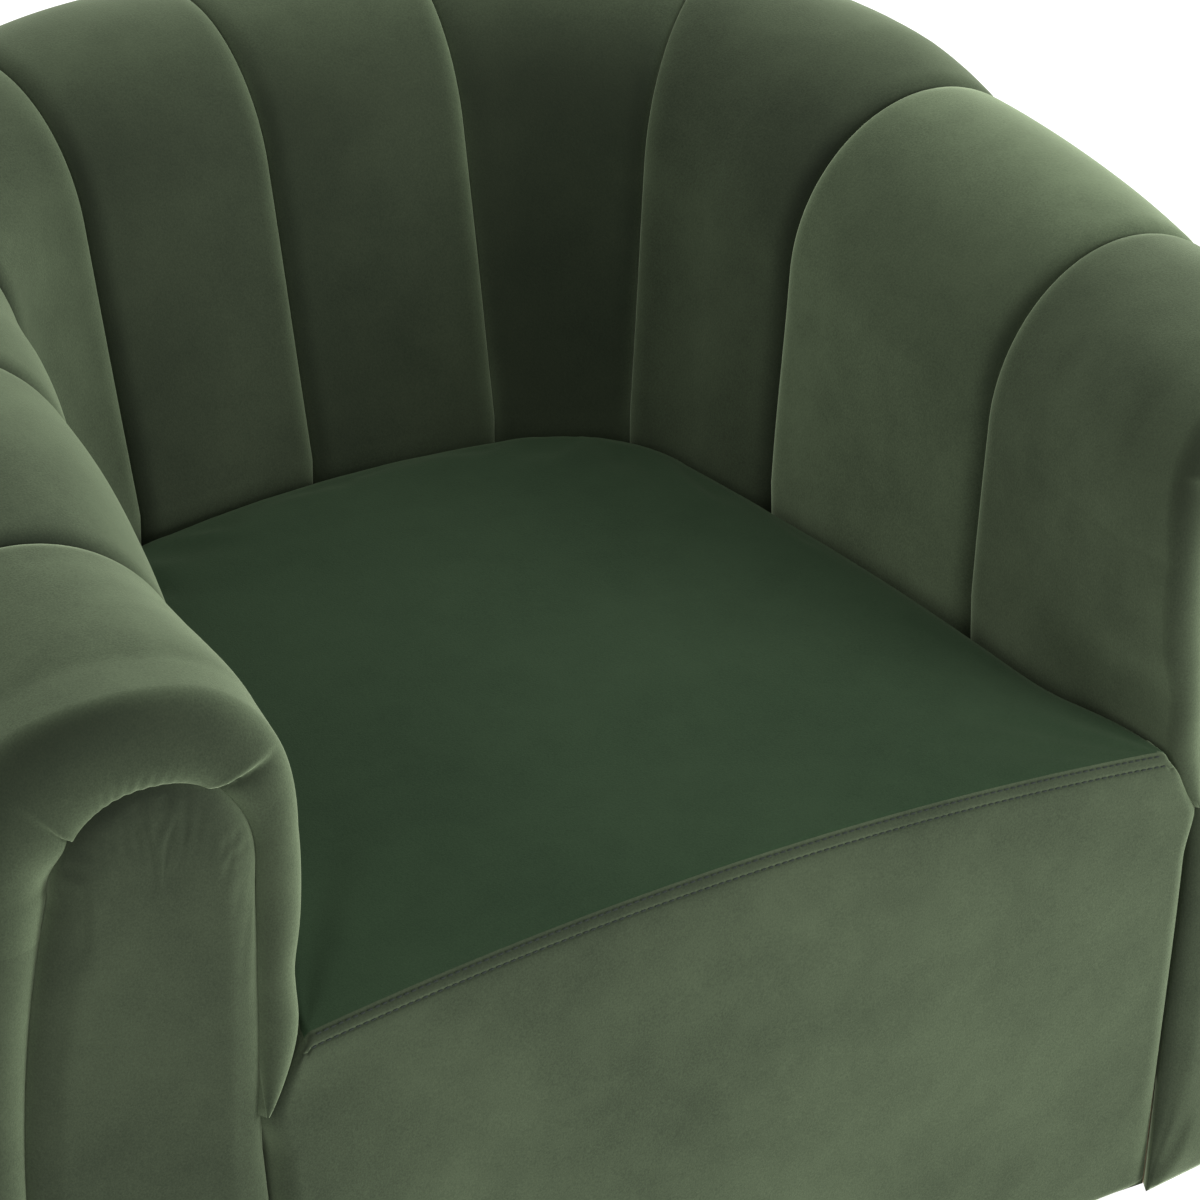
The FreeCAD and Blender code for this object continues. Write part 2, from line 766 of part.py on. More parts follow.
# Seat box: front, back and side boards, and the board that the swivel is bolted to

front_board = new_body("front_board")
front_sketch = new_sketch(front_board, "XY_Plane", "body_bottom")
front_low = "back_line - seat_depth + border_lap"
front_high = front_low + " + board_thickness"
front_corner = "( seat_front_half - border_lap * tan(arm_splay * 1deg) + side_board_offset )"
board_narrowing = "board_thickness * tan(arm_splay * 1deg)"
draw_outline(front_sketch, [
    ("-" + front_corner, front_low), (front_corner, front_low),
    (front_corner + " - " + board_narrowing, front_high), ("-" + front_corner + " + " + board_narrowing, front_high)])
padded(front_board, front_sketch, "seat_frame_top - body_bottom")

back_board = new_body("back_board")
back_sketch = new_sketch(back_board, "XY_Plane", "body_bottom")
back_low = "back_line + back_board_offset"
back_high = back_low + " + board_thickness"
back_drop = "( seat_depth + back_board_offset ) * tan(arm_splay * 1deg)"
back_corner = "( seat_front_half - " + back_drop + " + side_board_offset )"
draw_outline(back_sketch, [
    ("-" + back_corner, back_low), (back_corner, back_low),
    (back_corner + " - " + board_narrowing, back_high), ("-" + back_corner + " + " + board_narrowing, back_high)])
padded(back_board, back_sketch, "seat_frame_top - body_bottom")

side_length = "( ( seat_depth + back_board_offset + board_thickness - border_lap ) / cos(arm_splay * 1deg) )"
for side, sign in (("right", 1), ("left", -1)):
    side_board = new_body("side_board_" + side)
    side_sketch = new_sketch(side_board, "XY_Plane")
    near, far = ("0", "board_thickness") if sign > 0 else ("-board_thickness", "0")
    draw_outline(side_sketch, [(near, "0"), (far, "0"), (far, side_length), (near, side_length)])
    padded(side_board, side_sketch, "seat_frame_top - body_bottom")
    start_x = arm_face(size["side_board_offset"] + size["fit_gap"], front_line + size["border_lap"])
    start = Vector(sign * start_x, front_line + size["border_lap"], size["body_bottom"])
    side_board.Placement = FreeCAD.Placement(start, FreeCAD.Rotation(Vector(0, 0, 1), sign * size["arm_splay"]))

mounting_board = new_body("mounting_board")
mount_sketch = new_sketch(mounting_board, "XY_Plane", "body_bottom")


def board_half(depth):
    return (
        "( seat_front_half - ( " + depth + " - back_line + seat_depth ) * tan(arm_splay * 1deg)"
        " + side_board_offset - fit_gap )")


mount_far = "( back_line + back_board_offset - fit_gap )"
mount_near = "( back_line + back_board_offset - fit_gap - mounting_depth )"
near_half = board_half(mount_near)
far_half = board_half(mount_far)
draw_outline(mount_sketch, [
    ("-" + near_half, mount_near), (near_half, mount_near), (far_half, mount_far), ("-" + far_half, mount_far)])
padded(mounting_board, mount_sketch, "mounting_board")
bolt_square = [("plate_bolt_square", "plate_bolt_square"), ("-plate_bolt_square", "plate_bolt_square"),
               ("-plate_bolt_square", "-plate_bolt_square"), ("plate_bolt_square", "-plate_bolt_square")]
doc.recompute()
drilled(mounting_board, bolt_square, "bolt_radius + bolt_slack", "body_bottom")

cover_face = Part.Face(barrel_outline(size["wall_foot"] - outside_thickness, front_line + size["cover_set_back"]))
cover_face.translate(Vector(0, 0, size["body_bottom"] - size["dust_cover"]))
dust_cover = cover_face.extrude(Vector(0, 0, size["dust_cover"]))
bolt_spots = [(across, along) for across in (-1, 1) for along in (-1, 1)]
for across, along in bolt_spots:
    spot = Vector(across * size["plate_bolt_square"], along * size["plate_bolt_square"], 0)
    dust_cover = dust_cover.cut(Part.makeCylinder(size["bolt_radius"] + size["bolt_slack"], headroom.z, spot))
shaped("dust_cover", dust_cover)


# Pedestal base

floor_pad = new_body("floor_pad")
pad_sketch = new_sketch(floor_pad, "XY_Plane")
draw_circle(pad_sketch, "0", "0", "floor_pad_radius")
padded(floor_pad, pad_sketch, "floor_pad_height")

disc_top = "floor_pad_height + base_centre"
base_disc = new_body("base_disc")
turned(base_disc, [
    ("0", "floor_pad_height"), ("base_radius", "floor_pad_height"),
    ("base_radius", "floor_pad_height + base_edge - base_chamfer"),
    ("base_radius - base_chamfer", "floor_pad_height + base_edge"),
    ("flange_radius + flange_ledge", disc_top), ("0", disc_top)])
doc.recompute()
disc_hole = drilled(base_disc, [("flange_bolt_radius", "0")], "bolt_radius + bolt_slack", disc_top)
repeated_round(base_disc, disc_hole, column_bolt_count)

swivel_top = "body_bottom - dust_cover"
upper_low = swivel_top + " - plate_thickness"
lower_top = upper_low + " - plate_gap"
lower_low = lower_top + " - plate_thickness"
column_top = lower_low
column = new_body("column")
turned(column, [
    ("column_radius - column_wall", disc_top), ("flange_radius", disc_top),
    ("flange_radius", disc_top + " + flange_thickness"), ("column_radius", disc_top + " + flange_thickness"),
    ("column_radius", column_top + " - flange_thickness"), ("flange_radius", column_top + " - flange_thickness"),
    ("flange_radius", column_top), ("column_radius - column_wall", column_top)])
doc.recompute()
column_hole = drilled(column, [("flange_bolt_radius", "0")], "bolt_radius + bolt_slack", disc_top)
repeated_round(column, column_hole, column_bolt_count)


def bolt(length, radius, head_radius, head_height):
    # A button-headed bolt, head up, whose head sits on the plane z = 0.
    shank = Part.makeCylinder(radius, length, Vector(0, 0, -length))
    head = Part.makeCone(head_radius, head_radius * bolt_head_taper, head_height)
    return shank.fuse(head).removeSplitter()


def round_group(solid, count):
    copies = []
    for i in range(count):
        copy = solid.copy()
        copy.rotate(Vector(0, 0, 0), Vector(0, 0, 1), 360.0 * i / count)
        copies.append(copy)
    return Part.makeCompound(copies)


def height_of(text):
    return float(sheet.evalExpression(expression(text)))


column_bolt = bolt(
    size["flange_thickness"] + size["base_centre"] - size["bolt_end_gap"], size["bolt_radius"],
    size["bolt_head_radius"], size["bolt_head_height"])
column_bolt.translate(Vector(size["flange_bolt_radius"], 0, height_of(disc_top + " + flange_thickness")))
shaped("column_bolts", round_group(column_bolt, column_bolt_count))


# Swivel bearing

lower_plate = new_body("lower_plate")
turned(lower_plate, [
    ("column_radius", lower_low), ("lower_plate_radius", lower_low),
    ("lower_plate_radius", lower_top), ("column_radius", lower_top)])
doc.recompute()
plate_hole = drilled(lower_plate, [("flange_bolt_radius", "0")], "bolt_radius + bolt_slack", lower_low)
repeated_round(lower_plate, plate_hole, column_bolt_count)
doc.recompute()
ball_height = lower_top + " + plate_gap / 2"
cut_race(lower_plate, ball_height)

# Bolts from above hold the lower plate to the column's top flange.
plate_bolt = bolt(
    size["flange_thickness"] + size["plate_thickness"], size["bolt_radius"],
    size["bolt_head_radius"], size["bolt_head_height"])
plate_bolt.translate(Vector(size["flange_bolt_radius"], 0, height_of(lower_top)))
shaped("lower_plate_bolts", round_group(plate_bolt, column_bolt_count))

upper_plate = new_body("upper_plate")
plate_sketch = new_sketch(upper_plate, "XY_Plane", upper_low)
edge = "upper_plate_half"
cut_corner = "( upper_plate_half - upper_plate_corner )"
draw_outline(plate_sketch, [
    ("-" + cut_corner, "-" + edge), (cut_corner, "-" + edge), (edge, "-" + cut_corner), (edge, cut_corner),
    (cut_corner, edge), ("-" + cut_corner, edge), ("-" + edge, cut_corner), ("-" + edge, "-" + cut_corner)])
padded(upper_plate, plate_sketch, "plate_thickness")
doc.recompute()
drilled(upper_plate, bolt_square, "bolt_radius + bolt_slack", upper_low)
doc.recompute()
cut_race(upper_plate, ball_height)

cage = new_body("ball_cage")
cage_low = ball_height + " - cage_thickness / 2"
cage_high = ball_height + " + cage_thickness / 2"
turned(cage, [
    ("ball_pitch - cage_half_width", cage_low), ("ball_pitch + cage_half_width", cage_low),
    ("ball_pitch + cage_half_width", cage_high), ("ball_pitch - cage_half_width", cage_high)])
doc.recompute()
ball_hole = drilled(cage, [("ball_pitch", "0")], "ball_radius + race_gap", ball_height)
repeated_round(cage, ball_hole, ball_count)
ball = Part.makeSphere(size["ball_radius"], Vector(size["ball_pitch"], 0, height_of(ball_height)))
shaped("bearing_balls", round_group(ball, ball_count))

bush_top = column_top
bush_bore = "spindle_radius + running_gap"
bush_body = "spindle_radius + bush_wall"
bush_seat = "column_radius - column_wall"
bush = new_body("spindle_bush")
turned(bush, [
    (bush_bore, bush_top + " - bush_length"), (bush_body, bush_top + " - bush_length"),
    (bush_body, bush_top + " - bush_head"), (bush_seat, bush_top + " - bush_head"),
    (bush_seat, bush_top), (bush_bore, bush_top)])

spindle_end = bush_top + " - bush_length - clip_gap - clip_width * 2"
clip_top = bush_top + " - bush_length - clip_gap"
spindle = new_body("spindle")
turned(spindle, [
    ("0", spindle_end), ("spindle_radius", spindle_end),
    ("spindle_radius", upper_low + " - bush_collar"), ("spindle_flange", upper_low + " - bush_collar"),
    ("spindle_flange", upper_low), ("0", upper_low)])
clip = new_body("spindle_clip")
turned(clip, [
    ("spindle_radius", clip_top + " - clip_width"), ("spindle_radius + clip_reach", clip_top + " - clip_width"),
    ("spindle_radius + clip_reach", clip_top), ("spindle_radius", clip_top)])

# Bolts through the upper plate hold the seat; tee nuts take them on top of the mounting board.
swivel_bolt = bolt(
    size["plate_thickness"] + size["dust_cover"] + size["mounting_board"], size["bolt_radius"],
    size["bolt_head_radius"], size["bolt_head_height"])
swivel_bolt.rotate(Vector(0, 0, 0), Vector(1, 0, 0), 180)
nut = Part.makeCylinder(size["tee_nut_radius"], size["tee_nut_flange"])
nut = nut.cut(Part.makeCylinder(size["bolt_radius"] + size["bolt_slack"], size["tee_nut_flange"]))
swivel_bolts = []
tee_nuts = []
for across, along in bolt_spots:
    spot = Vector(across * size["plate_bolt_square"], along * size["plate_bolt_square"], 0)
    placed_bolt = swivel_bolt.copy()
    placed_bolt.translate(spot + Vector(0, 0, height_of(upper_low)))
    swivel_bolts.append(placed_bolt)
    placed_nut = nut.copy()
    placed_nut.translate(spot + Vector(0, 0, height_of("body_bottom + mounting_board")))
    tee_nuts.append(placed_nut)
shaped("swivel_bolts", Part.makeCompound(swivel_bolts))
shaped("tee_nuts", Part.makeCompound(tee_nuts))


# Checks and files

doc.recompute()
for item in doc.Objects:
    if "Invalid" in item.State or "Error" in item.State:
        raise RuntimeError("%s failed: %s" % (item.Label, item.State))
for part in sub_parts:
    if part.Shape.isNull() or not part.Shape.isValid() or part.Shape.Volume <= 0:
        raise RuntimeError("%s has no valid solid" % part.Label)
os.makedirs("parts", exist_ok=True)
for part in sub_parts:
    part.Shape.exportStep(os.path.join("parts", part.Label + ".step"))
print("%d sub-parts written" % len(sub_parts))
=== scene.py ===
import json
import math
import bpy
import bmesh
import numpy as np
from mathutils import Matrix, Vector
from types import SimpleNamespace


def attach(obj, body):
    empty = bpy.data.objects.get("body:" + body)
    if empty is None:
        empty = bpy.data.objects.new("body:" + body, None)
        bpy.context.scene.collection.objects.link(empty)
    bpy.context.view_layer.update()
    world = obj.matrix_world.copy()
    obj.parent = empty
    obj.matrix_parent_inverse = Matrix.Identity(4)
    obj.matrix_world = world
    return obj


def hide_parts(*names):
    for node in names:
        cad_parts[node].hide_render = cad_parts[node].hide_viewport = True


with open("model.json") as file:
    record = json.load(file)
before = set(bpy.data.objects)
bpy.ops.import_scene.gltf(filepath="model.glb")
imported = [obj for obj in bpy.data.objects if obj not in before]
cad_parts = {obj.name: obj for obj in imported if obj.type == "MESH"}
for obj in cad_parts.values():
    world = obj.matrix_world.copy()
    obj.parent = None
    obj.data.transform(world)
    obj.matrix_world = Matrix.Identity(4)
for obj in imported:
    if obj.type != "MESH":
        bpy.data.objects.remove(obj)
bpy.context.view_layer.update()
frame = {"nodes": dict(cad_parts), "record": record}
print("frame loaded:", len(frame["nodes"]), "nodes")

# The chair faces -Y, and the swivel's axis is +Z through the origin.
barrel = SimpleNamespace(
    backLine=0.128,
    seatDepth=0.468,
    seatFrontHalf=0.265,
    armSplay=math.radians(9.4),
    backRadius=0.830,
    cornerRadius=0.105,
    armOverhang=0.015,
    seatLine=0.455,
    bodyBottom=0.140,
    backRise=0.232,
    armRise=0.165,
    backLean=math.radians(15.4),
    armLean=math.radians(4.6),
    rollRadius=0.089,
    padDrop=0.030,
    wallFoot=0.184,
    cornerSeam=0.582,
    turnSeam=0.146,
    armSeam=0.593,
    hemRow=0.99,       # the last row but one, close to the hem
)

frontLine = barrel.backLine - barrel.seatDepth
backCentre = np.array([0.0, barrel.backLine - barrel.backRadius])
armNormal = np.array([math.cos(barrel.armSplay), math.sin(barrel.armSplay)])
armForward = np.array([math.sin(barrel.armSplay), -math.cos(barrel.armSplay)])
cornerStart = np.array([barrel.seatFrontHalf, frontLine]) - armNormal * barrel.cornerRadius
cornerReach = cornerStart - backCentre
alongArm = -armForward @ cornerReach
turnRoom = cornerReach @ cornerReach - (barrel.backRadius - barrel.cornerRadius) ** 2
armLength = -alongArm + math.sqrt(alongArm ** 2 - turnRoom)
cornerCentre = cornerStart - armForward * armLength
backTurn = math.atan2(cornerCentre[0], cornerCentre[1] - backCentre[1])
cornerTurn = math.pi / 2 - barrel.armSplay - backTurn
backEnd = barrel.backRadius * backTurn
cornerEnd = backEnd + barrel.cornerRadius * cornerTurn
armEnd = cornerEnd + armLength + barrel.armOverhang
seams = (
    0.0, backEnd, backEnd + barrel.cornerSeam * (cornerEnd - backEnd),
    cornerEnd + barrel.turnSeam * armLength, cornerEnd + barrel.armSeam * armLength)


def smoothStep(value):
    value = np.clip(value, 0.0, 1.0)
    return value * value * (3 - 2 * value)


def ramp(value, start, reach):
    # grows smoothly from 0 at the start to 1, and a negative reach runs the other way
    return smoothStep((value - start) / reach)


def between(first, second, share):
    return first + (second - first) * share


def bell(value, middle, width):
    return np.exp(-((value - middle) / width) ** 2)


def easedShares(count):
    # shares from 0 to 1, closer together at both ends
    return 0.5 - 0.5 * np.cos(np.linspace(0, math.pi, count))


def seatLine(travel):
    # point and outward normal in plan, this far along the seat line from the back's middle
    travel = np.asarray(travel, float)
    distance = np.abs(travel)
    onBack = distance <= backEnd
    onCorner = (distance > backEnd) & (distance <= cornerEnd)
    turn = np.where(onBack, distance / barrel.backRadius,
                    backTurn + (distance - backEnd) / barrel.cornerRadius)
    turn = np.where(onBack | onCorner, turn, math.pi / 2 - barrel.armSplay)
    normal = np.stack([np.sin(turn), np.cos(turn)], axis=-1)
    centre = np.where(onBack[..., None], backCentre, cornerCentre)
    radius = np.where(onBack, barrel.backRadius, barrel.cornerRadius)
    beyond = np.maximum(distance - cornerEnd, 0.0)
    point = centre + normal * radius[..., None] + armForward * beyond[..., None]
    side = np.where(travel < 0, -1.0, 1.0)
    flip = np.stack([side, np.ones_like(side)], axis=-1)
    return point * flip, normal * flip


def rimAt(travel):
    # lean of the inner face, and the centre of the rim's roll: out from the seat line, and up
    point, normal = seatLine(travel)
    lean = between(barrel.armLean, barrel.backLean, normal[..., 1] ** 2)
    along = (point[..., 1] - frontLine) / barrel.seatDepth
    rise = between(barrel.armRise, barrel.backRise, along)
    radius = barrel.rollRadius
    slope = (rise - radius * (1 - np.sin(lean))) / np.cos(lean)
    rollOut = slope * np.sin(lean) + radius * np.cos(lean)
    rollUp = barrel.seatLine + slope * np.cos(lean) - radius * np.sin(lean)
    return lean, rollOut, rollUp, slope


def barrelSection(travel, counts, bottom):
    # the valley line of the padding: up the inner face, over the roll and down to the hem
    lean, rollOut, rollUp, slope = (value[:, None] for value in rimAt(travel))
    radius = barrel.rollRadius
    low, face, arc, drop = counts
    lowShare = np.linspace(0, 1, low, endpoint=False)[None]
    faceShare = np.linspace(0, 1, face, endpoint=False)[None]
    arcShare = np.linspace(0, 1, arc, endpoint=False)[None]
    dropShare = np.append(np.linspace(0, barrel.hemRow, drop - 1), 1.0)[None]
    angle = (math.pi - lean) * (1 - arcShare)

    def joined(*parts):
        wide = [np.broadcast_to(part, (len(travel), count)) for part, count in zip(parts, counts)]
        return np.concatenate(wide, axis=1)

    out = joined(
        0.0, slope * np.sin(lean) * faceShare, rollOut + radius * np.cos(angle), rollOut + radius)
    up = joined(
        between(bottom, barrel.seatLine, lowShare), barrel.seatLine + slope * np.cos(lean) * faceShare,
        rollUp + radius * np.sin(angle), rollUp - barrel.padDrop * dropShare)
    normalOut = joined(-1.0, -np.cos(lean), np.cos(angle), 1.0)
    normalUp = joined(0.0, np.sin(lean), np.sin(angle), 0.0)
    return out, up, normalOut, normalUp


def withHeight(flat, up):
    return np.concatenate([flat, up[..., None]], axis=-1)


def placed(travel, out, up):
    # a grid of points from travel along the barrel, and out and up from its seat line
    point, normal = seatLine(travel)
    return withHeight(point[:, None, :] + normal[:, None, :] * out[..., None], up)


def softWave(first, second, seed, count=5, divide=3.0):
    # a smooth unevenness between about -1 and 1, the same in each run
    draw = np.random.default_rng(seed)
    total = 0.0
    for _ in range(count):
        firstPull, secondPull = draw.uniform(-1, 1), draw.uniform(-1, 1)
        phase = draw.uniform(0, 2 * math.pi)
        total = total + np.sin(first * firstPull + second * secondPull + phase)
    return total / divide


def newObject(name, vertices, faces):
    mesh = bpy.data.meshes.new(name)
    mesh.from_pydata([tuple(spot) for spot in vertices], [], [tuple(face) for face in faces])
    mesh.validate()
    piece = bpy.data.objects.new(name, mesh)
    bpy.context.collection.objects.link(piece)
    return piece


def mendMesh(piece, merge=1e-6, shortest=1e-7, sharp=math.radians(60)):
    work = bmesh.new()
    work.from_mesh(piece.data)
    bmesh.ops.remove_doubles(work, verts=work.verts, dist=merge)
    bmesh.ops.dissolve_degenerate(work, edges=work.edges, dist=shortest)
    bmesh.ops.recalc_face_normals(work, faces=work.faces)
    work.to_mesh(piece.data)
    work.free()
    for polygon in piece.data.polygons:
        polygon.use_smooth = True
    piece.data.set_sharp_from_angle(angle=sharp)


def closedShell(name, outer, inner, spine=False):
    # one closed skin from a show side and a back side with the same rows and columns
    # a first row that is a spine folds on itself, so it has no wall
    rows, columns = outer.shape[:2]
    count = rows * columns
    vertices = np.concatenate([outer.reshape(-1, 3), inner.reshape(-1, 3)])
    faces = []
    for row in range(rows - 1):
        for column in range(columns - 1):
            show = row * columns + column
            back = count + show
            faces.append((show, show + 1, show + columns + 1, show + columns))
            faces.append((back, back + columns, back + columns + 1, back + 1))
    grid = np.arange(count).reshape(rows, columns)
    edges = [grid[-1], grid[:, 0], grid[:, -1]]
    if not spine:
        edges.append(grid[0])
    for edge in edges:
        for here, there in zip(edge[:-1].tolist(), edge[1:].tolist()):
            faces.append((here, there, count + there, count + here))
    piece = newObject(name, vertices, faces)
    mendMesh(piece)
    return piece


# Velvet and the other finishes

velvet = SimpleNamespace(
    deep=(0.009, 0.014, 0.007),
    lit=(0.016, 0.022, 0.011),
    # painted sheen: the colour the base takes on as the cloth turns away from the view
    paintedSheen=(0.125, 0.165, 0.095),
    sheen=0.6,
    # the seat's copy of the cloth, greener with far less painted sheen and sheen: painted shade, together
    # with its pile lying another way
    seatDeep=(0.010, 0.024, 0.010),
    seatLit=(0.018, 0.038, 0.016),
    seatPaintedSheen=(0.032, 0.057, 0.029),
    seatSheen=0.11,
    sheenTint=(0.70, 0.85, 0.55),
    sheenRoughness=0.35,
    roughness=0.85,
    specular=0.15,
    patch=0.8,
    facingBlend=0.5,
    facingMost=0.58,       # the painted sheen stops growing near this tilt
    facingSoft=0.25,
    paintedSheenGain=0.8,         # the painted sheen is stronger where the nap's random tone is lighter
    paintedSheenLeast=0.6,
    pileStrength=0.25,
    pileDepth=0.0006,
    layers=(               # scale, detail, roughness and weight of each noise
        (7.0, 2.0, 0.45, 1.5),
        (38.0, 3.0, 0.6, 0.9),
        (900.0, 2.0, 0.7, 1.8)),
)


def setInputs(node, values):
    for name, value in values.items():
        node.inputs[name].default_value = value


def newMaterial(name):
    material = bpy.data.materials.new(name)
    material.use_nodes = True
    tree = material.node_tree
    return material, tree.nodes, tree.links, tree.nodes["Principled BSDF"]


def napAndPaintedSheenGroup():
    # broad shade changes, brushed patches and short pile in random tone, and a painted sheen that grows as
    # the cloth turns away from the view
    group = bpy.data.node_groups.new("velvetNapAndPaintedSheen", "ShaderNodeTree")
    for name, inOut, kind in (
            ("Deep", "INPUT", "NodeSocketColor"), ("Lit", "INPUT", "NodeSocketColor"),
            ("PaintedSheen", "INPUT", "NodeSocketColor"), ("Facing", "INPUT", "NodeSocketFloat"),
            ("Patch", "INPUT", "NodeSocketFloat"), ("Color", "OUTPUT", "NodeSocketColor"),
            ("Pile", "OUTPUT", "NodeSocketFloat")):
        group.interface.new_socket(name, in_out=inOut, socket_type=kind)
    nodes, links = group.nodes, group.links
    inputs = nodes.new("NodeGroupInput").outputs
    outputs = nodes.new("NodeGroupOutput").inputs
    coords = nodes.new("ShaderNodeTexCoord")

    def noise(scale, detail, rough):
        made = nodes.new("ShaderNodeTexNoise")
        setInputs(made, {"Scale": scale, "Detail": detail, "Roughness": rough})
        links.new(coords.outputs["Object"], made.inputs["Vector"])
        return made.outputs["Fac"]

    def combined(operation, values, clamp=False):
        made = nodes.new("ShaderNodeMath")
        made.operation = operation
        made.use_clamp = clamp
        for place, value in zip(made.inputs, values):
            if isinstance(value, float):
                place.default_value = value
            else:
                links.new(value, place)
        return made.outputs[0]

    def mixed(share, first, second):
        made = nodes.new("ShaderNodeMix")
        made.data_type = "RGBA"
        links.new(share, made.inputs[0])
        links.new(first, made.inputs[6])
        links.new(second, made.inputs[7])
        return made.outputs[2]

    shade = 0.0
    for scale, detail, rough, weight in velvet.layers:
        pile = noise(scale, detail, rough)
        lowered = combined("ADD", (shade, -weight / 2))
        shade = combined("MULTIPLY_ADD", (pile, weight, lowered))
    scaled = combined("MULTIPLY_ADD", (shade, inputs["Patch"], 0.5), clamp=True)
    # painted sheen: the colour goes toward the painted sheen colour by the capped Layer Weight facing, more
    # on the lighter patches
    paintedSheenStrength = combined("MULTIPLY_ADD", (scaled, velvet.paintedSheenGain, velvet.paintedSheenLeast))
    limited = combined("SMOOTH_MIN", (inputs["Facing"], velvet.facingMost, velvet.facingSoft))
    tilt = combined("MULTIPLY", (limited, paintedSheenStrength), clamp=True)
    napWithPaintedSheen = mixed(tilt, mixed(scaled, inputs["Deep"], inputs["Lit"]), inputs["PaintedSheen"])
    links.new(napWithPaintedSheen, outputs["Color"])
    links.new(pile, outputs["Pile"])
    return group


napAndPaintedSheen = napAndPaintedSheenGroup()


def velvetMaterial(name, deep, lit, paintedSheen, sheen):
    material, nodes, links, shader = newMaterial(name)
    cloth = nodes.new("ShaderNodeGroup")
    cloth.node_tree = napAndPaintedSheen
    setInputs(cloth, {"Deep": (*deep, 1), "Lit": (*lit, 1), "PaintedSheen": (*paintedSheen, 1), "Patch": velvet.patch})
    # the Layer Weight facing drives the painted sheen in the base colour
    facing = nodes.new("ShaderNodeLayerWeight")
    setInputs(facing, {"Blend": velvet.facingBlend})
    links.new(facing.outputs["Facing"], cloth.inputs["Facing"])
    links.new(cloth.outputs["Color"], shader.inputs["Base Color"])
    bump = nodes.new("ShaderNodeBump")
    setInputs(bump, {"Strength": velvet.pileStrength, "Distance": velvet.pileDepth})
    links.new(cloth.outputs["Pile"], bump.inputs["Height"])
    links.new(bump.outputs["Normal"], shader.inputs["Normal"])
    setInputs(shader, {
        "Roughness": velvet.roughness,
        "Specular IOR Level": velvet.specular,
        "Sheen Weight": sheen,
        "Sheen Roughness": velvet.sheenRoughness,
        "Sheen Tint": (*velvet.sheenTint, 1)})
    return material


def paintedLightAndShadeCopy(name, gain):
    # the same cloth, lighter or darker by a gain: painted light and shade for a piece
    colors = [tuple(gain * part for part in color) for color in (velvet.deep, velvet.lit, velvet.paintedSheen)]
    return velvetMaterial(name, *colors, velvet.sheen * gain)


# painted light and shade: lighter and darker copies of the one cloth
greenVelvet = paintedLightAndShadeCopy("greenVelvet", gain=1.0)
paintedLightVelvet = paintedLightAndShadeCopy("paintedLightVelvet", gain=1.17)
paintedShadeVelvet = paintedLightAndShadeCopy("paintedShadeVelvet", gain=0.86)
paintedStrongLightVelvet = paintedLightAndShadeCopy("paintedStrongLightVelvet", gain=1.42)
# the seat's darker copy: painted shade, together with its pile lying another way
seatPaintedShadeVelvet = velvetMaterial(
    "seatPaintedShadeVelvet", velvet.seatDeep, velvet.seatLit, velvet.seatPaintedSheen, velvet.seatSheen)


def plainMaterial(name, color, second, roughness, scale, metallic=0.0,
                  bumpDepth=0.0002, bumpStrength=0.4, detail=5.0):
    material, nodes, links, shader = newMaterial(name)
    coords = nodes.new("ShaderNodeTexCoord")
    grain = nodes.new("ShaderNodeTexNoise")
    setInputs(grain, {"Scale": scale, "Detail": detail})
    links.new(coords.outputs["Object"], grain.inputs["Vector"])
    mix = nodes.new("ShaderNodeMix")
    mix.data_type = "RGBA"
    mix.inputs[6].default_value = (*color, 1)
    mix.inputs[7].default_value = (*second, 1)
    links.new(grain.outputs["Fac"], mix.inputs[0])
    links.new(mix.outputs[2], shader.inputs["Base Color"])
    bump = nodes.new("ShaderNodeBump")
    setInputs(bump, {"Strength": bumpStrength, "Distance": bumpDepth})
    links.new(grain.outputs["Fac"], bump.inputs["Height"])
    links.new(bump.outputs["Normal"], shader.inputs["Normal"])
    setInputs(shader, {"Roughness": roughness, "Metallic": metallic})
    return material


finishes = {
    "foam": plainMaterial("foam", (0.78, 0.72, 0.58), (0.86, 0.81, 0.68), 0.95, 260.0, bumpDepth=0.001),
    "frame_wood": plainMaterial("frameWood", (0.52, 0.36, 0.21), (0.68, 0.52, 0.33), 0.7, 60.0),
    "webbing": plainMaterial("webbing", (0.13, 0.12, 0.11), (0.2, 0.19, 0.17), 0.9, 700.0),
    "cover_cloth": plainMaterial("coverCloth", (0.012, 0.012, 0.012), (0.025, 0.025, 0.026), 0.95, 800.0),
    "felt": plainMaterial("felt", (0.02, 0.02, 0.02), (0.05, 0.05, 0.05), 1.0, 500.0, bumpDepth=0.001),
    "black_steel": plainMaterial("blackSteel", (0.014, 0.014, 0.015), (0.02, 0.02, 0.021), 0.42, 1400.0),
    "zinc_steel": plainMaterial(
        "zincSteel", (0.55, 0.55, 0.53), (0.66, 0.66, 0.64), 0.35, 90.0, metallic=1.0),
    "nylon": plainMaterial("nylon", (0.74, 0.73, 0.68), (0.8, 0.79, 0.74), 0.5, 120.0),
}
for entry in frame["record"]["subparts"]:
    node = frame["nodes"][entry["node"]]
    finish = finishes.get(entry["material_slot"], greenVelvet)
    node.data.materials.clear()
    node.data.materials.append(finish)
print("finishes made")


def dress(piece, material, replaced):
    piece.data.materials.append(material)
    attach(piece, "seat")
    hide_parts(replaced)


# Outline of the arched arm fronts, out from the seat line at the arm's end, and up

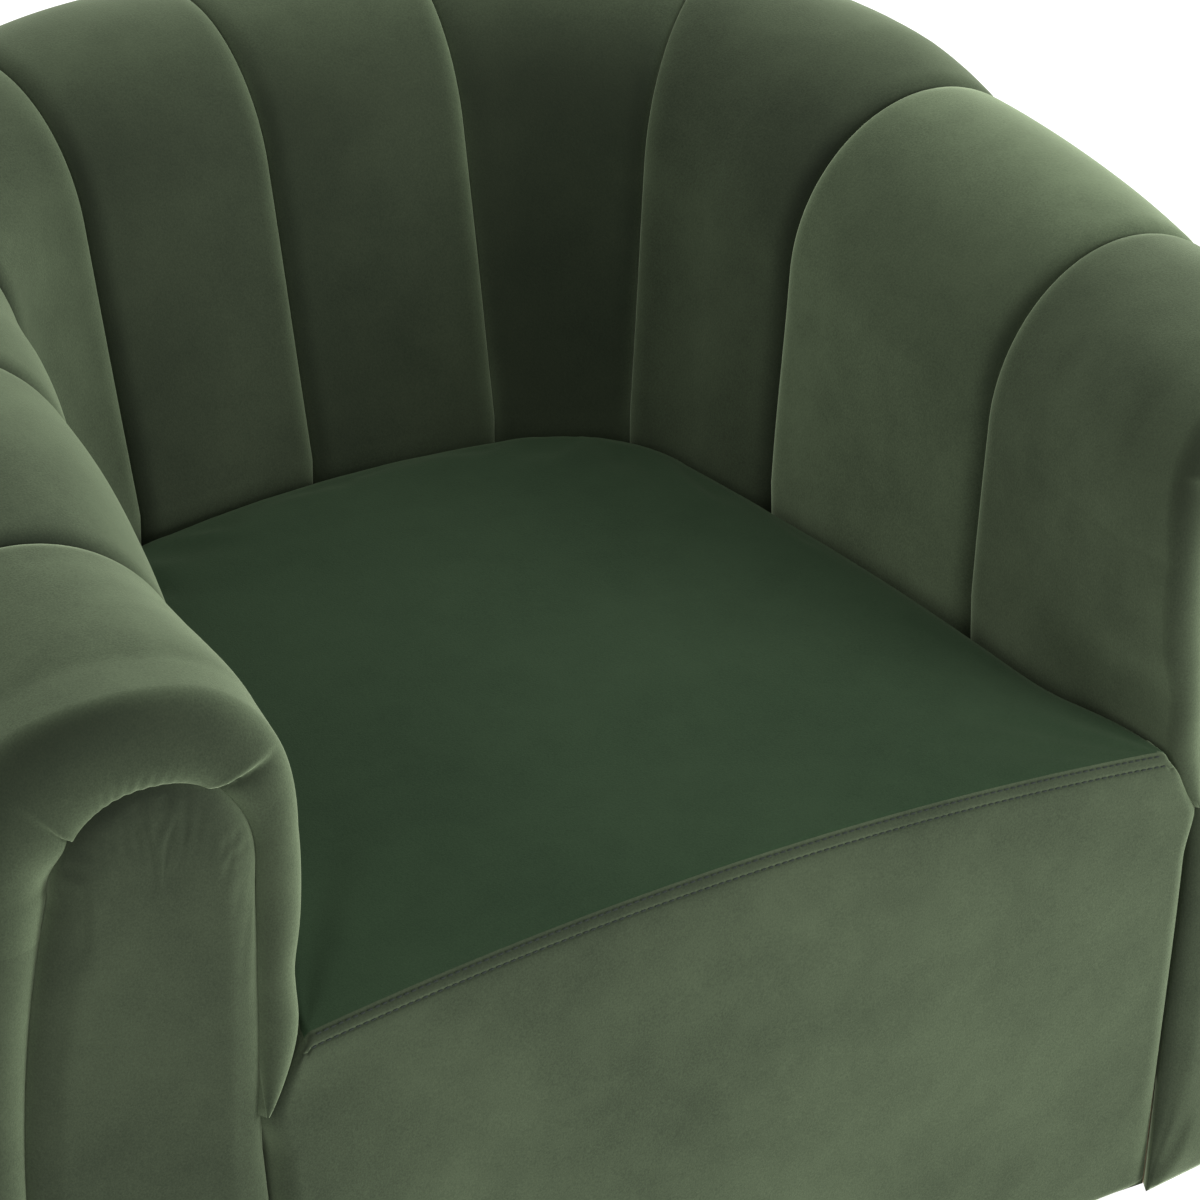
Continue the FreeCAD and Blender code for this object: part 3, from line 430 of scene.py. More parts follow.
armPanel = SimpleNamespace(
    inner=0.0195,
    outer=0.1280,
    outerFoot=0.1470,
    spring=0.531,
    flareFoot=0.364,
    rise=0.0600,
    squareness=2.2,
    toe=0.0010,
    toeTop=0.357,
    bottom=0.1403,
    back=0.0145,
    sideDepth=0.005,
    sideClear=0.0045,
    front=0.0030,
    puff=0.0130,
    footPuff=0.0065,
    edgeReach=0.019,
    recede=0.009,
    wrinkle=0.00012,
    foldUp=(-0.02, 0.05),
    foldEdge=0.006,
    foldFade=(0.004, 0.018),
    foldLength=0.0021,
    foldWander=(0.9, 0.0083, 0.0),     # size, length and phase
    foldUneven=(0.4, 0.013, 1.0),
    foldMiddle=0.6,
    besideUp=(0.37, -0.03),
    clearOut=(0.020, -0.015),
    deepOut=(0.024, -0.012),
    outline=240,
    rings=34,
    pressure=1.0,
    swell=0.0009,
)
archMiddle = (armPanel.inner + armPanel.outer) / 2
archHalf = (armPanel.outer - armPanel.inner) / 2


def panelInner(up):
    lower = np.clip((armPanel.toeTop - up) / (armPanel.toeTop - armPanel.bottom), 0, 1)
    return between(armPanel.inner, armPanel.toe, lower)


def panelOuter(up):
    lower = np.clip((armPanel.spring - up) / (armPanel.spring - armPanel.flareFoot), 0, 1)
    return between(armPanel.outer, armPanel.outerFoot, 2 * lower - lower ** 2)


def panelArch(angle):
    # angle runs over the arch from the inner side, 0, to the outer side, pi
    power = 2 / armPanel.squareness
    across = np.sign(np.cos(angle)) * np.abs(np.cos(angle)) ** power
    up = armPanel.spring + armPanel.rise * np.abs(np.sin(angle)) ** power
    return archMiddle - archHalf * across, up


# Channels of the barrel

channel = SimpleNamespace(
    crown=0.0030,
    dome=0.0048,
    seamDepth=0.0028,
    seamReach=0.011,
    seamPower=2.3,
    seamGap=0.0001,
    backing=0.0215,
    bottom=0.358,
    columns=40,
    counts=(6, 40, 60, 14),    # rows below the seat line, up the face, over the roll and down to the hem
    hemSwell=0.15,
    unevenness=0.0006,
    wavesAlong=60,
    wavesUp=45,
)
roll = SimpleNamespace(
    start=0.052,           # where the channel begins to turn over the arm front
    straight=6,
    columns=40,
    counts=(18, 46, 150, 16),
    archPoints=600,
    topPower=1.5,
    topLength=0.034,       # the broad bend over the top of the arch
    topSlope=math.radians(80),
    topShare=0.8,
    bendPower=1.5,
    lastPart=(0.74, 0.28),
    tuck=1.10,             # the roll ends a little inside the panel's edge
    lastTurn=math.radians(176),
    endReach=0.07,         # the swell changes over this length toward the front
    frontSwell=0.0045,
    shoulder=0.006,        # fullness at the inner shoulder, and more of it at the front
    shoulderFront=0.009,
    shoulderBell=(2.4, 0.6),
    shoulderUp=(0.49, 0.09),
    bands=((0.0048, 0.525, 0.048), (-0.0055, 0.458, 0.024)),   # fullness, height and half height
    bandAngle=(1.6, 0.7),
    hemRows=(-24, 20),
    pullTop=0.453,         # the roll narrows to nothing behind the border's wing
    pullMost=0.985,
    pullRight=0.067,
    pullLeft=0.076,
    pullReach=0.03,
    dip=0.016,             # how far back the closed end goes
    dipPull=(0.93, 0.04),
    meetReach=0.09,
    backShare=0.5,
)
fold = SimpleNamespace(
    gather=0.00025,
    gatherPitch=0.0095,
    gatherTurn=(1.2, 1.2),
    archStart=(0.35, 0.6),
    archEnd=(0.2, 0.5),
    wander=((0.45, 0.037, 0.7), (0.25, 0.017, 0.0)),   # size, length and phase
    uneven=(0.8, 0.023, 1.1),
    unevenMiddle=0.35,
    pleats=(              # angle over the roll, upper side, depth, and the turn where it begins
        (math.radians(142), -1, 0.0052, 0.1),
        (math.radians(53), 1, 0.0036, 0.8)),
    pleatReach=1.5,
    skew=0.005,
    skewTurn=2.2,
    lip=0.0016,
    lipHeight=0.35,
    lipReach=0.010,
    creaseReach=0.0065,
    sewnShare=0.3,
    sewnReach=0.6,
)


def waveOf(path, wave):
    size, length, phase = wave
    return size * np.sin(path / length + phase)


def rollRelief(turn, arcAngle):
    # small gathers by the arch seam, and two folded pleats that run out of it
    path = arcAngle * barrel.rollRadius
    tuck = ramp(turn, *fold.gatherTurn)
    overArch = ramp(arcAngle, *fold.archStart) * ramp(math.pi - arcAngle, *fold.archEnd)
    wander = sum(waveOf(path, wave) for wave in fold.wander)
    uneven = np.clip(fold.unevenMiddle + waveOf(path, fold.uneven), 0, 1)
    waves = np.sin(2 * math.pi * (path / fold.gatherPitch + wander))
    relief = fold.gather * uneven * waves * tuck * overArch
    sewn = between(fold.sewnShare, 1, ramp(roll.lastTurn - turn, 0, fold.sewnReach))
    skewed = fold.skew * (turn - fold.skewTurn)
    for place, topSide, depth, begin in fold.pleats:
        across = topSide * (arcAngle - place) * barrel.rollRadius - skewed
        lip = 0.5 * (1 + np.tanh(across / fold.lip))
        folded = fold.lipHeight * lip * np.exp(-np.maximum(across, 0) / fold.lipReach)
        creased = (1 - lip) * np.exp(np.minimum(across, 0) / fold.creaseReach)
        relief = relief + depth * (folded - creased) * ramp(turn, begin, fold.pleatReach) * sewn
    return relief


def seamSwell(fromSeam, share):
    near = np.clip(fromSeam / channel.seamReach, 0, 1)
    puff = np.sqrt(1 - (1 - near) ** channel.seamPower)
    swell = -channel.seamDepth + (channel.seamDepth + channel.crown) * puff
    return swell + channel.dome * (1 - (2 * share - 1) ** 2)


def hemFade(counts):
    # the swell dies away down the outside, toward the hem
    rows = sum(counts)
    hemRows = counts[2] // 4 + counts[3]
    return between(1, channel.hemSwell, ramp(np.arange(rows), rows - hemRows, hemRows - 1))


def unevenCloth(travel, out, up, number, side):
    stepOut = np.diff(out, axis=1, prepend=out[:, :1])
    stepUp = np.diff(up, axis=1, prepend=up[:, :1])
    pathway = np.cumsum(np.hypot(stepOut, stepUp), axis=1)
    seed = 17 * number + (0 if side > 0 else 5)
    waves = softWave(travel[:, None] * channel.wavesAlong, pathway * channel.wavesUp, seed)
    return channel.unevenness * waves


def channelSkin(side, number):
    start = seams[number - 1] + channel.seamGap
    end = seams[number] - channel.seamGap
    share = easedShares(channel.columns)
    travel = start + (end - start) * share
    swell = seamSwell(np.minimum(travel - start, end - travel), share)
    out, up, normalOut, normalUp = barrelSection(travel * side, channel.counts, channel.bottom)
    fade = hemFade(channel.counts)
    raised = np.minimum(swell, 0)[:, None] + np.maximum(swell, 0)[:, None] * fade[None, :]
    raised = raised + unevenCloth(travel, out, up, number, side)
    outer = placed(travel * side, out + raised * normalOut, up + raised * normalUp)
    sink = -channel.backing
    inner = placed(travel * side, out + sink * normalOut, up + sink * normalUp)
    return outer, inner


def rollEdge(end, arcAngle, skinUp, onFace, onDrop):
    # where the roll meets the arm panel: at its inner side, its arch and its outer side
    rollOut, rollUp = rimAt(np.array([end]))[1:3]
    archOut, archUp = panelArch(np.linspace(0, math.pi, roll.archPoints))
    aboveRoll = archUp >= rollUp
    archOut, archUp = archOut[aboveRoll], archUp[aboveRoll]
    archAngle = np.arctan2(archUp - rollUp, archOut - rollOut)
    seenOut = np.interp(arcAngle, archAngle[::-1], archOut[::-1])
    seenUp = np.interp(arcAngle, archAngle[::-1], archUp[::-1])
    edgeOut = np.where(onFace, panelInner(skinUp), np.where(onDrop, panelOuter(skinUp), seenOut))
    edgeUp = np.where(onFace | onDrop, skinUp, seenUp)
    # the upper part of the face leans over, to meet the arch's first row
    faceRows = np.count_nonzero(onFace)
    arch, face = slice(faceRows, faceRows + 1), slice(faceRows - 1, faceRows)
    reach = roll.meetReach
    meeting = np.where(onFace, ramp(skinUp - skinUp[:, face], -reach, reach), 0.0)
    stepUp = edgeUp[:, arch] - edgeUp[:, face] - skinUp[:, arch] + skinUp[:, face]
    edgeOut = edgeOut + meeting * (edgeOut[:, arch] - edgeOut[:, face])
    edgeUp = edgeUp + meeting * stepUp
    return edgeOut, edgeUp


def frontChannelSkin(side):
    # the front channel runs on over the arm front, turns in round the arch
    # and narrows to its end behind the border's wing
    start = seams[-1] + channel.seamGap
    end = armEnd - roll.start
    share = 1 - np.cos(np.linspace(0, math.pi / 2, channel.columns))
    mainCount, straightCount, turnCount = channel.columns, roll.straight, roll.columns
    travel = np.concatenate([start + (end - start) * share, np.full(straightCount + turnCount, end)])
    out, up, normalOut, normalUp = barrelSection(travel * side, roll.counts, channel.bottom)
    arcAngle = np.arctan2(normalUp, normalOut)
    overTop = np.maximum(np.sin(arcAngle), 0) ** roll.topPower
    rows = np.arange(out.shape[1])
    onFace = (rows < sum(roll.counts[:2]))[None]
    onDrop = (rows >= sum(roll.counts[:3]))[None]

    def nearEnd(reach):
        return ramp(travel - end, -reach, reach)[:, None]

    # the swell of the channel, its shoulder and the band beside the panel
    ending = nearEnd(roll.endReach)
    swell = seamSwell(travel - start, np.clip(0.5 * (travel - start) / (end - start), 0, 0.5))[:, None]
    swell = between(swell, np.minimum(roll.frontSwell, swell), ending * (1 - overTop))
    raised = np.minimum(swell, 0) + np.maximum(swell, 0) * hemFade(roll.counts)[None, :]
    raised = raised + unevenCloth(travel, out, up, len(seams), side)
    fullness = roll.shoulder * ramp(travel, start, roll.endReach)[:, None]
    fullness = fullness + roll.shoulderFront * ending
    shoulder = bell(arcAngle, *roll.shoulderBell) * ramp(up, *roll.shoulderUp)
    raised = raised + fullness * shoulder
    band = sum(depth * bell(up, middle, half) for depth, middle, half in roll.bands)
    raised = raised + band * np.where(onFace, 1.0, ramp(arcAngle, *roll.bandAngle)) * ending
    raised = raised * (1 - ramp(rows - len(rows), *roll.hemRows)[None] * ending)

    # the pull behind the border's wing
    pullLength = roll.pullRight if side > 0 else roll.pullLeft
    pull = np.clip((roll.pullTop - up) / pullLength, 0, roll.pullMost) ** 2
    pull = np.where(onFace, pull, 0.0) * nearEnd(roll.pullReach)
    raised = raised - pull * (raised + armPanel.inner)
    closed = roll.dip * ramp(pull, *roll.dipPull)
    skinOut, skinUp = out + raised * normalOut, up + raised * normalUp
    edgeOut, edgeUp = rollEdge(end, arcAngle, skinUp, onFace, onDrop)

    # the turn: a tube at the sides of the panel and a broad bend over its top
    walked = np.linspace(0, 1, turnCount + 1)[1:, None]
    tubeTurn = roll.lastTurn * walked
    topTurn = roll.topSlope * np.minimum(walked / roll.topShare, 1) ** roll.bendPower
    lastPart = ramp(walked, *roll.lastPart)
    topTurn = topTurn + (roll.lastTurn - roll.topSlope) * lastPart
    topShare = overTop[-1:]
    turn = between(tubeTurn, topTurn, topShare)
    tubeLength = math.pi / 2 * np.hypot(edgeOut[-1:] - skinOut[-1:], edgeUp[-1:] - skinUp[-1:])
    length = between(tubeLength, roll.topLength, topShare)
    forward = np.cumsum(length / turnCount * np.cos(turn), axis=0)
    inward = np.cumsum(np.sin(turn), axis=0)
    inward = roll.tuck * inward / inward[-1:]
    noseStart = armEnd - end - forward.max(axis=0, keepdims=True) - closed[-1:]
    straightShare = np.linspace(0, 1, straightCount + 1)[1:, None]
    unturned = np.zeros((mainCount + straightCount, len(rows)))
    onward = np.concatenate([unturned[:mainCount], straightShare * noseStart, noseStart + forward])
    inward = np.concatenate([unturned, inward])
    turn = np.concatenate([unturned, turn])
    relief = np.where(onFace, 0.0, rollRelief(turn, arcAngle))
    lifted = relief * np.cos(turn)
    outer = placed(
        travel * side, skinOut + (edgeOut - skinOut) * inward + lifted * normalOut,
        skinUp + (edgeUp - skinUp) * inward + lifted * normalUp)
    ahead = armForward * np.array([side, 1.0])
    outer[..., :2] += (onward + relief * np.sin(turn))[..., None] * ahead
    sink = -channel.backing - pull * armPanel.inner
    inner = placed(travel * side, out + sink * normalOut, up + sink * normalUp)
    inner[..., :2] += np.minimum(onward, roll.backShare * roll.start)[..., None] * ahead
    return outer, inner


# channels that take the lighter and darker copies of the cloth: painted light and shade
channelPaintedShades = {
    "channel_right_3": paintedShadeVelvet, "channel_right_4": paintedStrongLightVelvet, "channel_left_1": paintedShadeVelvet,
    "channel_left_2": paintedShadeVelvet, "channel_left_5": paintedLightVelvet}
for side, sideName in ((1, "right"), (-1, "left")):
    for number in range(1, len(seams) + 1):
        outer, inner = channelSkin(side, number) if number < len(seams) else frontChannelSkin(side)
        node = "channel_%s_%d" % (sideName, number)
        piece = closedShell("channel%s%d" % (sideName.capitalize(), number), outer, inner)
        dress(piece, channelPaintedShades.get(node, greenVelvet), node)
print("channels made")


# Seat pad under one shallow crown, sewn to the border along the front seam

seat = SimpleNamespace(
    gap=0.0092,
    frontGap=0.0036,
    crownRadius=1.85,
    crownTop=0.4650,
    crownForward=0.200,
    edgeRound=0.018,
    cornerRound=0.0035,
    bottom=0.362,
    frontY=-0.350,
    frontBow=0.003,
    frontBottom=-0.3335,
    seamTop=0.4473,
    seamDrop=0.027,
    seamMiddle=0.030,
    seamSpan=0.3,
    frontPull=0.0007,
    columns=90,
    rows=80,
    cornerTravel=0.190,
    pressure=0.6,
    swell=0.0022,
    frontPast=0.008,
    fill=(-0.11, 0.08),
    rimPast=0.03,
    rimPoints=900,
    roundReach=0.09,
    joinReach=0.11,
    pullReach=0.004,
    bottomReach=0.07,
    unevenness=0.0008,
    waves=14,
)


def crownHeight(x, y):
    ahead = y - (barrel.backLine - seat.crownForward)
    return seat.crownTop - (x ** 2 + ahead ** 2) / (2 * seat.crownRadius)


def frontSeam(x):
    # y and z of the seam along the seat's front edge
    share = x / barrel.seatFrontHalf
    y = seat.frontY - seat.frontBow * (1 - share ** 2)
    z = seat.seamTop - seat.seamDrop * ((x - seat.seamMiddle) / seat.seamSpan) ** 2
    return y, z


def roundedEdge(distance, radius):
    # how far a rounded edge has fallen, this far in from its end
    return radius * (1 - np.sqrt(1 - np.clip(1 - distance / radius, 0, 1) ** 2))


def seatOutline(travel):
    # the seat fills out toward its front corners
    point, normal = seatLine(travel)
    nearFront = ramp(np.abs(travel) - armEnd, *seat.fill)
    return point - normal * between(seat.gap, seat.frontGap, nearFront)[..., None]


frontTravel = armEnd - barrel.armOverhang + seat.frontPast
seatHalf = seatOutline(np.array([frontTravel]))[0][0]


def filledPlan(line, front, frontTravel, cornerTravel, along, across):
    # a grid in plan, from a front edge back between the sides of a line round the barrel
    back = line(cornerTravel * (2 * across - 1))
    sideTravel = between(frontTravel, cornerTravel, along)
    left, right = line(-sideTravel), line(sideTravel)
    toBack, toRight = along[:, None, None], across[None, :, None]
    corners = between(between(front[0], front[-1], toRight), between(back[0], back[-1], toRight), toBack)
    sides = between(left[:, None], right[:, None], toRight)
    return between(front[None], back[None], toBack) + sides - corners


def spotsOf(mesh):
    spots = np.empty(len(mesh.vertices) * 3)
    mesh.vertices.foreach_get("co", spots)
    return spots.reshape(-1, 3)


clothSettings = {
    "quality": 5,
    "mass": 0.3,
    "tension_stiffness": 15,
    "compression_stiffness": 15,
    "shear_stiffness": 5,
    "bending_stiffness": 0.5,
    "use_pressure": True,
    "vertex_group_mass": "sewn",
}


def plump(piece, held, pressure, swell, frames=20, keyScale=1e5, least=1e-9):
    # the cover swells under air pressure with its sewn edges held, and the cloth's result stays in the mesh
    mesh = piece.data
    begun = spotsOf(mesh)
    heldKeys = {tuple(key) for key in np.round(held.reshape(-1, 3) * keyScale).astype(int)}
    keys = np.round(begun * keyScale).astype(int)
    sewn = piece.vertex_groups.new(name="sewn")
    sewn.add([index for index, key in enumerate(keys) if tuple(key) in heldKeys], 1.0, "REPLACE")
    cloth = piece.modifiers.new("cloth", "CLOTH")
    for name, value in clothSettings.items():
        setattr(cloth.settings, name, value)
    cloth.settings.uniform_pressure_force = pressure
    cloth.settings.effector_weights.gravity = 0
    cloth.point_cache.frame_end = frames
    for step in range(1, frames + 1):
        bpy.context.scene.frame_set(step)
    moved = spotsOf(piece.evaluated_get(bpy.context.evaluated_depsgraph_get()).data) - begun
    length = np.linalg.norm(moved, axis=1, keepdims=True)
    moved *= swell * np.tanh(length / swell) / np.maximum(length, least)
    piece.modifiers.remove(cloth)
    piece.vertex_groups.remove(sewn)
    bpy.context.scene.frame_set(1)
    mesh.vertices.foreach_set("co", (begun + moved).reshape(-1))
    mesh.update()
    print(piece.name, "swelled by up to %.1f mm" % (1000 * np.linalg.norm(moved, axis=1).max()))


def edgesOf(outer, inner):
    # the sewn edges and the whole back side of a shell
    return np.concatenate([outer[0], outer[-1], outer[:, 0], outer[:, -1], inner.reshape(-1, 3)])


across = easedShares(seat.columns)
along = easedShares(seat.rows)
frontX = seatHalf * (2 * across - 1)
front = np.stack([frontX, frontSeam(frontX)[0]], axis=-1)
plan = filledPlan(seatOutline, front, frontTravel, seat.cornerTravel, along, across)
rimEnd = frontTravel + seat.rimPast
rim = seatOutline(np.linspace(-rimEnd, rimEnd, seat.rimPoints))
toRim = np.full(plan.shape[:2], np.inf)
for spot in rim:
    toRim = np.minimum(toRim, np.hypot(plan[..., 0] - spot[0], plan[..., 1] - spot[1]))
seamY, seamZ = frontSeam(plan[..., 0])
fromSeam = plan[..., 1] - seamY
edgeRound = between(seat.cornerRound, seat.edgeRound, smoothStep(fromSeam / seat.roundReach))
top = crownHeight(plan[..., 0], plan[..., 1]) - roundedEdge(toRim, edgeRound)
joined = 1 - smoothStep(fromSeam / seat.joinReach)
top = top + (seamZ - crownHeight(plan[..., 0], seamY)) * joined
top = top - seat.frontPull * np.clip(1 - fromSeam / seat.pullReach, 0, 1) ** 2
uneven = softWave(plan[..., 0] * seat.waves, plan[..., 1] * seat.waves, seed=3)
top = top + seat.unevenness * uneven * (1 - joined)
outer = withHeight(plan, top)
inner = withHeight(plan, np.full(top.shape, seat.bottom))
inner[..., 1] += (seat.frontBottom - seamY) * (1 - smoothStep(fromSeam / seat.bottomReach))
seatPad = closedShell("seatPad", outer, inner)
plump(seatPad, edgesOf(outer, inner), seat.pressure, seat.swell)
dress(seatPad, seatPaintedShadeVelvet, "seat_pad")
print("seat made")


# Front border with its lapped, top-stitched upper edge and its wings

border = SimpleNamespace(
    back=-0.3345,
    bottom=0.1405,
    neckHalf=0.2626,
    wingHalf=0.2890,
    wingStep=0.0055,
    footHalf=0.2690,
    wingAbove=0.002,
    wingDrop=0.043,
    shoulder=0.055,
    stepDown=(-0.004, 0.034),
    belly=0.0075,
    recede=0.008,
    sideFall=0.004,
    height=0.285,
    lapHeight=0.0003,
    lapRise=0.0012,
    lapFade=(0.009, 0.012),
    stitchBelow=0.0066,
    stitchDepth=0.0005,
    stitchWidth=0.0008,
    topRound=0.0015,
    sideRound=0.012,
    footRound=0.013,
    bottomRound=0.007,
    cornerReach=0.02,
    topReach=0.04,
    roundDown=(0.03, 0.2),
    footPower=1.5,
    bellyPower=0.55,
    sideInset=0.0008,
    underInset=0.0004,
    columns=140,
    seamRows=(
        0, 0.0006, 0.0012, 0.003, 0.0046, 0.0056, 0.0061, 0.0066, 0.0071, 0.0076, 0.0086,
        0.012, 0.016, 0.022),
    rowsStart=0.03,
    rows=46,
    underRows=6,
)


def borderSpot(share, down):
    # a point of the front skin: share is across, from -1 to 1, and down is below the seam
    level = down / border.height
    wingDrop, blunt = border.wingDrop, border.shoulder
    flare = (down + border.wingAbove) / wingDrop
    flare = 1 - blunt * np.log1p(np.exp((1 - flare) / blunt))
    half = between(border.neckHalf, border.wingHalf, np.maximum(flare, 0))
    narrowing = np.clip((down - wingDrop) / (border.height - wingDrop), 0, 1)
    half = half - border.wingStep * ramp(down - wingDrop, *border.stepDown)
    half = half - (border.wingHalf - border.wingStep - border.footHalf) * narrowing
    x = share * half
    seamY, seamZ = frontSeam(x)
    seamZ = np.maximum(seamZ, frontSeam(np.sign(share) * border.neckHalf)[1])
    corner = roundedEdge(seatHalf - np.minimum(np.abs(x), seatHalf), seat.cornerRound)
    seamZ = seamZ - corner * (1 - smoothStep(down / border.cornerReach))
    floorZ = border.bottom + border.bottomRound
    footward = level ** border.footPower
    z = seamZ - down + (floorZ - seamZ + border.height) * footward
    below = smoothStep(down / border.topReach)
    forward = border.belly * np.sin(math.pi * level ** border.bellyPower)
    forward = forward - border.sideFall * share ** 4 * below
    lap = border.lapHeight * np.minimum(down / border.lapRise, 1) ** 0.5
    lap = lap * (1 - ramp(down, *border.lapFade))
    stitch = border.stitchDepth * bell(down, border.stitchBelow, border.stitchWidth)
    y = seamY - forward - lap + stitch + border.recede * footward
    rounding = between(border.sideRound, border.footRound, ramp(down, *border.roundDown))
    rounding = between(border.topRound, rounding, below)
    sidewall = np.clip((np.abs(x) - half + rounding) / rounding, 0, 1)
    y = between(y, border.back - border.sideInset, 1 - np.sqrt(1 - sidewall ** 2))
    return np.stack(np.broadcast_arrays(x, y, z), axis=-1)


def borderSkin():
    lowerRows = np.linspace(border.rowsStart, border.height, border.rows)
    down = np.concatenate([border.seamRows, lowerRows])
    share = np.sin(math.pi / 2 * np.linspace(-1, 1, border.columns))
    front = borderSpot(share[None, :], down[:, None])
    angle = np.linspace(0, math.pi / 2, border.underRows + 1)[1:, None]
    under = np.repeat(front[-1:], len(angle), axis=0)
    turned = under[..., 1] + border.bottomRound * (1 - np.cos(angle))
    under[..., 1] = np.minimum(turned, border.back - border.underInset)
    under[..., 2] -= border.bottomRound * np.sin(angle)
    outer = np.concatenate([front, under])
    inner = outer.copy()
    inner[..., 1] = border.back
    return outer, inner


outer, inner = borderSkin()
seatBorder = closedShell("seatBorder", outer, inner)
dress(seatBorder, greenVelvet, "seat_border")
print("border made")


# Arched panels on the arm fronts

def armPanelSkin(side):
    spring = armPanel.spring
    third = armPanel.outline // 3
    rising = np.linspace(armPanel.bottom, spring, third, endpoint=False)
    archOut, archUp = panelArch(np.linspace(0, math.pi, third))
    edgeUp = np.concatenate([rising, archUp, rising[::-1]])
    edgeOut = np.concatenate([panelInner(rising), archOut, panelOuter(rising[::-1])])
    spineUp = np.minimum(edgeUp, spring)
    spineOut = (panelInner(spineUp) + panelOuter(spineUp)) / 2
    spread = np.sin(np.linspace(0, math.pi / 2, armPanel.rings))[:, None]
    out = spineOut[None] + (edgeOut - spineOut)[None] * spread
    up = spineUp[None] + (edgeUp - spineUp)[None] * spread
    fromEdge = np.hypot(edgeOut - spineOut, edgeUp - spineUp)[None] * (1 - spread)
    near = np.minimum(fromEdge, up - armPanel.bottom)
    share = np.clip(near / armPanel.edgeReach, 0, 1)
    level = np.clip((spring - up) / (spring - armPanel.bottom), 0, 1)
    puffHere = between(armPanel.puff, armPanel.footPuff, level)
    depth = puffHere * (np.sqrt(1 - (1 - share) ** 2) - 1)
    archNear = ramp(up - spring, *armPanel.foldUp) * ramp(fromEdge, 0, armPanel.foldEdge)
    archNear = archNear * (1 - ramp(fromEdge, *armPanel.foldFade))
    arcPath = np.arctan2(up - spring, out - archMiddle) * archHalf
    folds = np.sin(arcPath / armPanel.foldLength + waveOf(arcPath, armPanel.foldWander))
    folds = folds * (armPanel.foldMiddle + waveOf(arcPath, armPanel.foldUneven))
    forward = armPanel.front + depth + armPanel.wrinkle * archNear * folds
    forward = forward - armPanel.recede * level
    point, normal = seatLine(np.array([armEnd * side]))
    ahead = armForward * np.array([side, 1.0])

    def spot(sideways, onward):
        return withHeight(point[0] + normal[0] * sideways[..., None] + ahead * onward[..., None], up)

    # beside the border the padding goes further back, clear of the border's side
    beside = ramp(up, *armPanel.besideUp)
    backOut = out + armPanel.sideClear * ramp(out, *armPanel.clearOut) * beside
    deep = armPanel.back + armPanel.sideDepth * ramp(out, *armPanel.deepOut) * beside
    return spot(out, forward), spot(backOut, -deep)


for side, sideName in ((1, "Right"), (-1, "Left")):
    outer, inner = armPanelSkin(side)
    panel = closedShell("armPanel" + sideName, outer, inner, spine=True)
    held = np.concatenate([outer[-1], outer[:, 0], outer[:, -1], inner.reshape(-1, 3)])
    plump(panel, held, armPanel.pressure, armPanel.swell)
    # the arm panels take the darker copy of the cloth: painted shade
    dress(panel, paintedShadeVelvet, "arm_panel_" + sideName.lower())
print("arm fronts made")


# Outside panels, left, back and right

outside = SimpleNamespace(
    setIn=0.002,
    thickness=0.018,
    swell=0.004,
    edgeReach=0.03,
    turnStart=0.034,
    unevenness=0.0012,
    wavesAlong=12,
    wavesUp=9,
    rows=46,
    columns=70,
    split=0.153,
    gap=0.0001,
    bottomGap=0.0002,
    flush=(-0.06, 0.05),       # toward the arm's front the skin comes level with the channel's hem
    flushGap=0.1,
    flushUp=(0.3, 0.1),
)


def outsideSkin(start, end, turnsIn, side):
    # at the arm's front the skin turns in, to the arm panel's edge, as the front channel does
    travel = np.linspace(start, end, outside.columns)
    turn = np.zeros_like(travel)
    flush = np.zeros_like(travel)
    if turnsIn:
        walked = np.linspace(0, 1, roll.columns + 1)[1:]
        turn = np.concatenate([turn, roll.lastTurn * walked])
        travel = np.concatenate([travel, np.full(roll.columns, end)])
        flush = ramp(travel - end, *outside.flush)
    hemTravel = np.minimum(travel, armEnd - roll.start)
    rollOut, rollUp = rimAt(hemTravel * side)[1:3]
    top = rollUp - barrel.padDrop - outside.gap * between(1, outside.flushGap, flush)
    bottom = barrel.bodyBottom + outside.bottomGap
    share = easedShares(outside.rows)[None]
    up = bottom + (top - bottom)[:, None] * share
    topOut = rollOut + barrel.rollRadius - outside.setIn * (1 - flush)
    out = between(barrel.wallFoot, topOut[:, None], share)
    near = np.minimum(top[:, None] - up, up - bottom)
    bulge = np.sqrt(1 - (1 - np.clip(near / outside.edgeReach, 0, 1)) ** 2)
    uneven = softWave(travel[:, None] * outside.wavesAlong, up * outside.wavesUp, seed=41)
    swell = outside.swell * (bulge - 1) + outside.unevenness * uneven
    swell = swell * (1 - flush[:, None] * ramp(up, *outside.flushUp))
    width = out + swell - panelOuter(up)
    turning = (turn > 0)[:, None]
    stepAhead = np.where(turning, np.cos(turn)[:, None], 0) / roll.columns
    forward = math.pi / 2 * width * np.cumsum(stepAhead, axis=0)
    inward = np.cumsum(np.sin(turn))[:, None]
    inward = roll.tuck * inward / max(inward[-1, 0], 1.0)
    onward = np.where(turning, armEnd - end - forward.max(axis=0, keepdims=True) + forward, 0)
    outer = placed(travel * side, out + swell - width * inward, up)
    outer[..., :2] += onward[..., None] * armForward * np.array([side, 1.0])
    inner = placed(travel * side, out - outside.thickness, up)
    return outer, inner


split = outside.split
turnStart = armEnd - outside.turnStart
outsideSpans = (
    ("outsideBack", "outside_panel_back", -split + outside.gap, split - outside.gap, False, 1),
    ("outsideRight", "outside_panel_right", split, turnStart, True, 1),
    ("outsideLeft", "outside_panel_left", split, turnStart, True, -1),
)
for name, node, start, end, turnsIn, side in outsideSpans:
    outer, inner = outsideSkin(start, end, turnsIn, side)
    piece = closedShell(name, outer, inner)
    dress(piece, greenVelvet, node)
print("outside panels made")


# Top stitching on the border's lapped edge

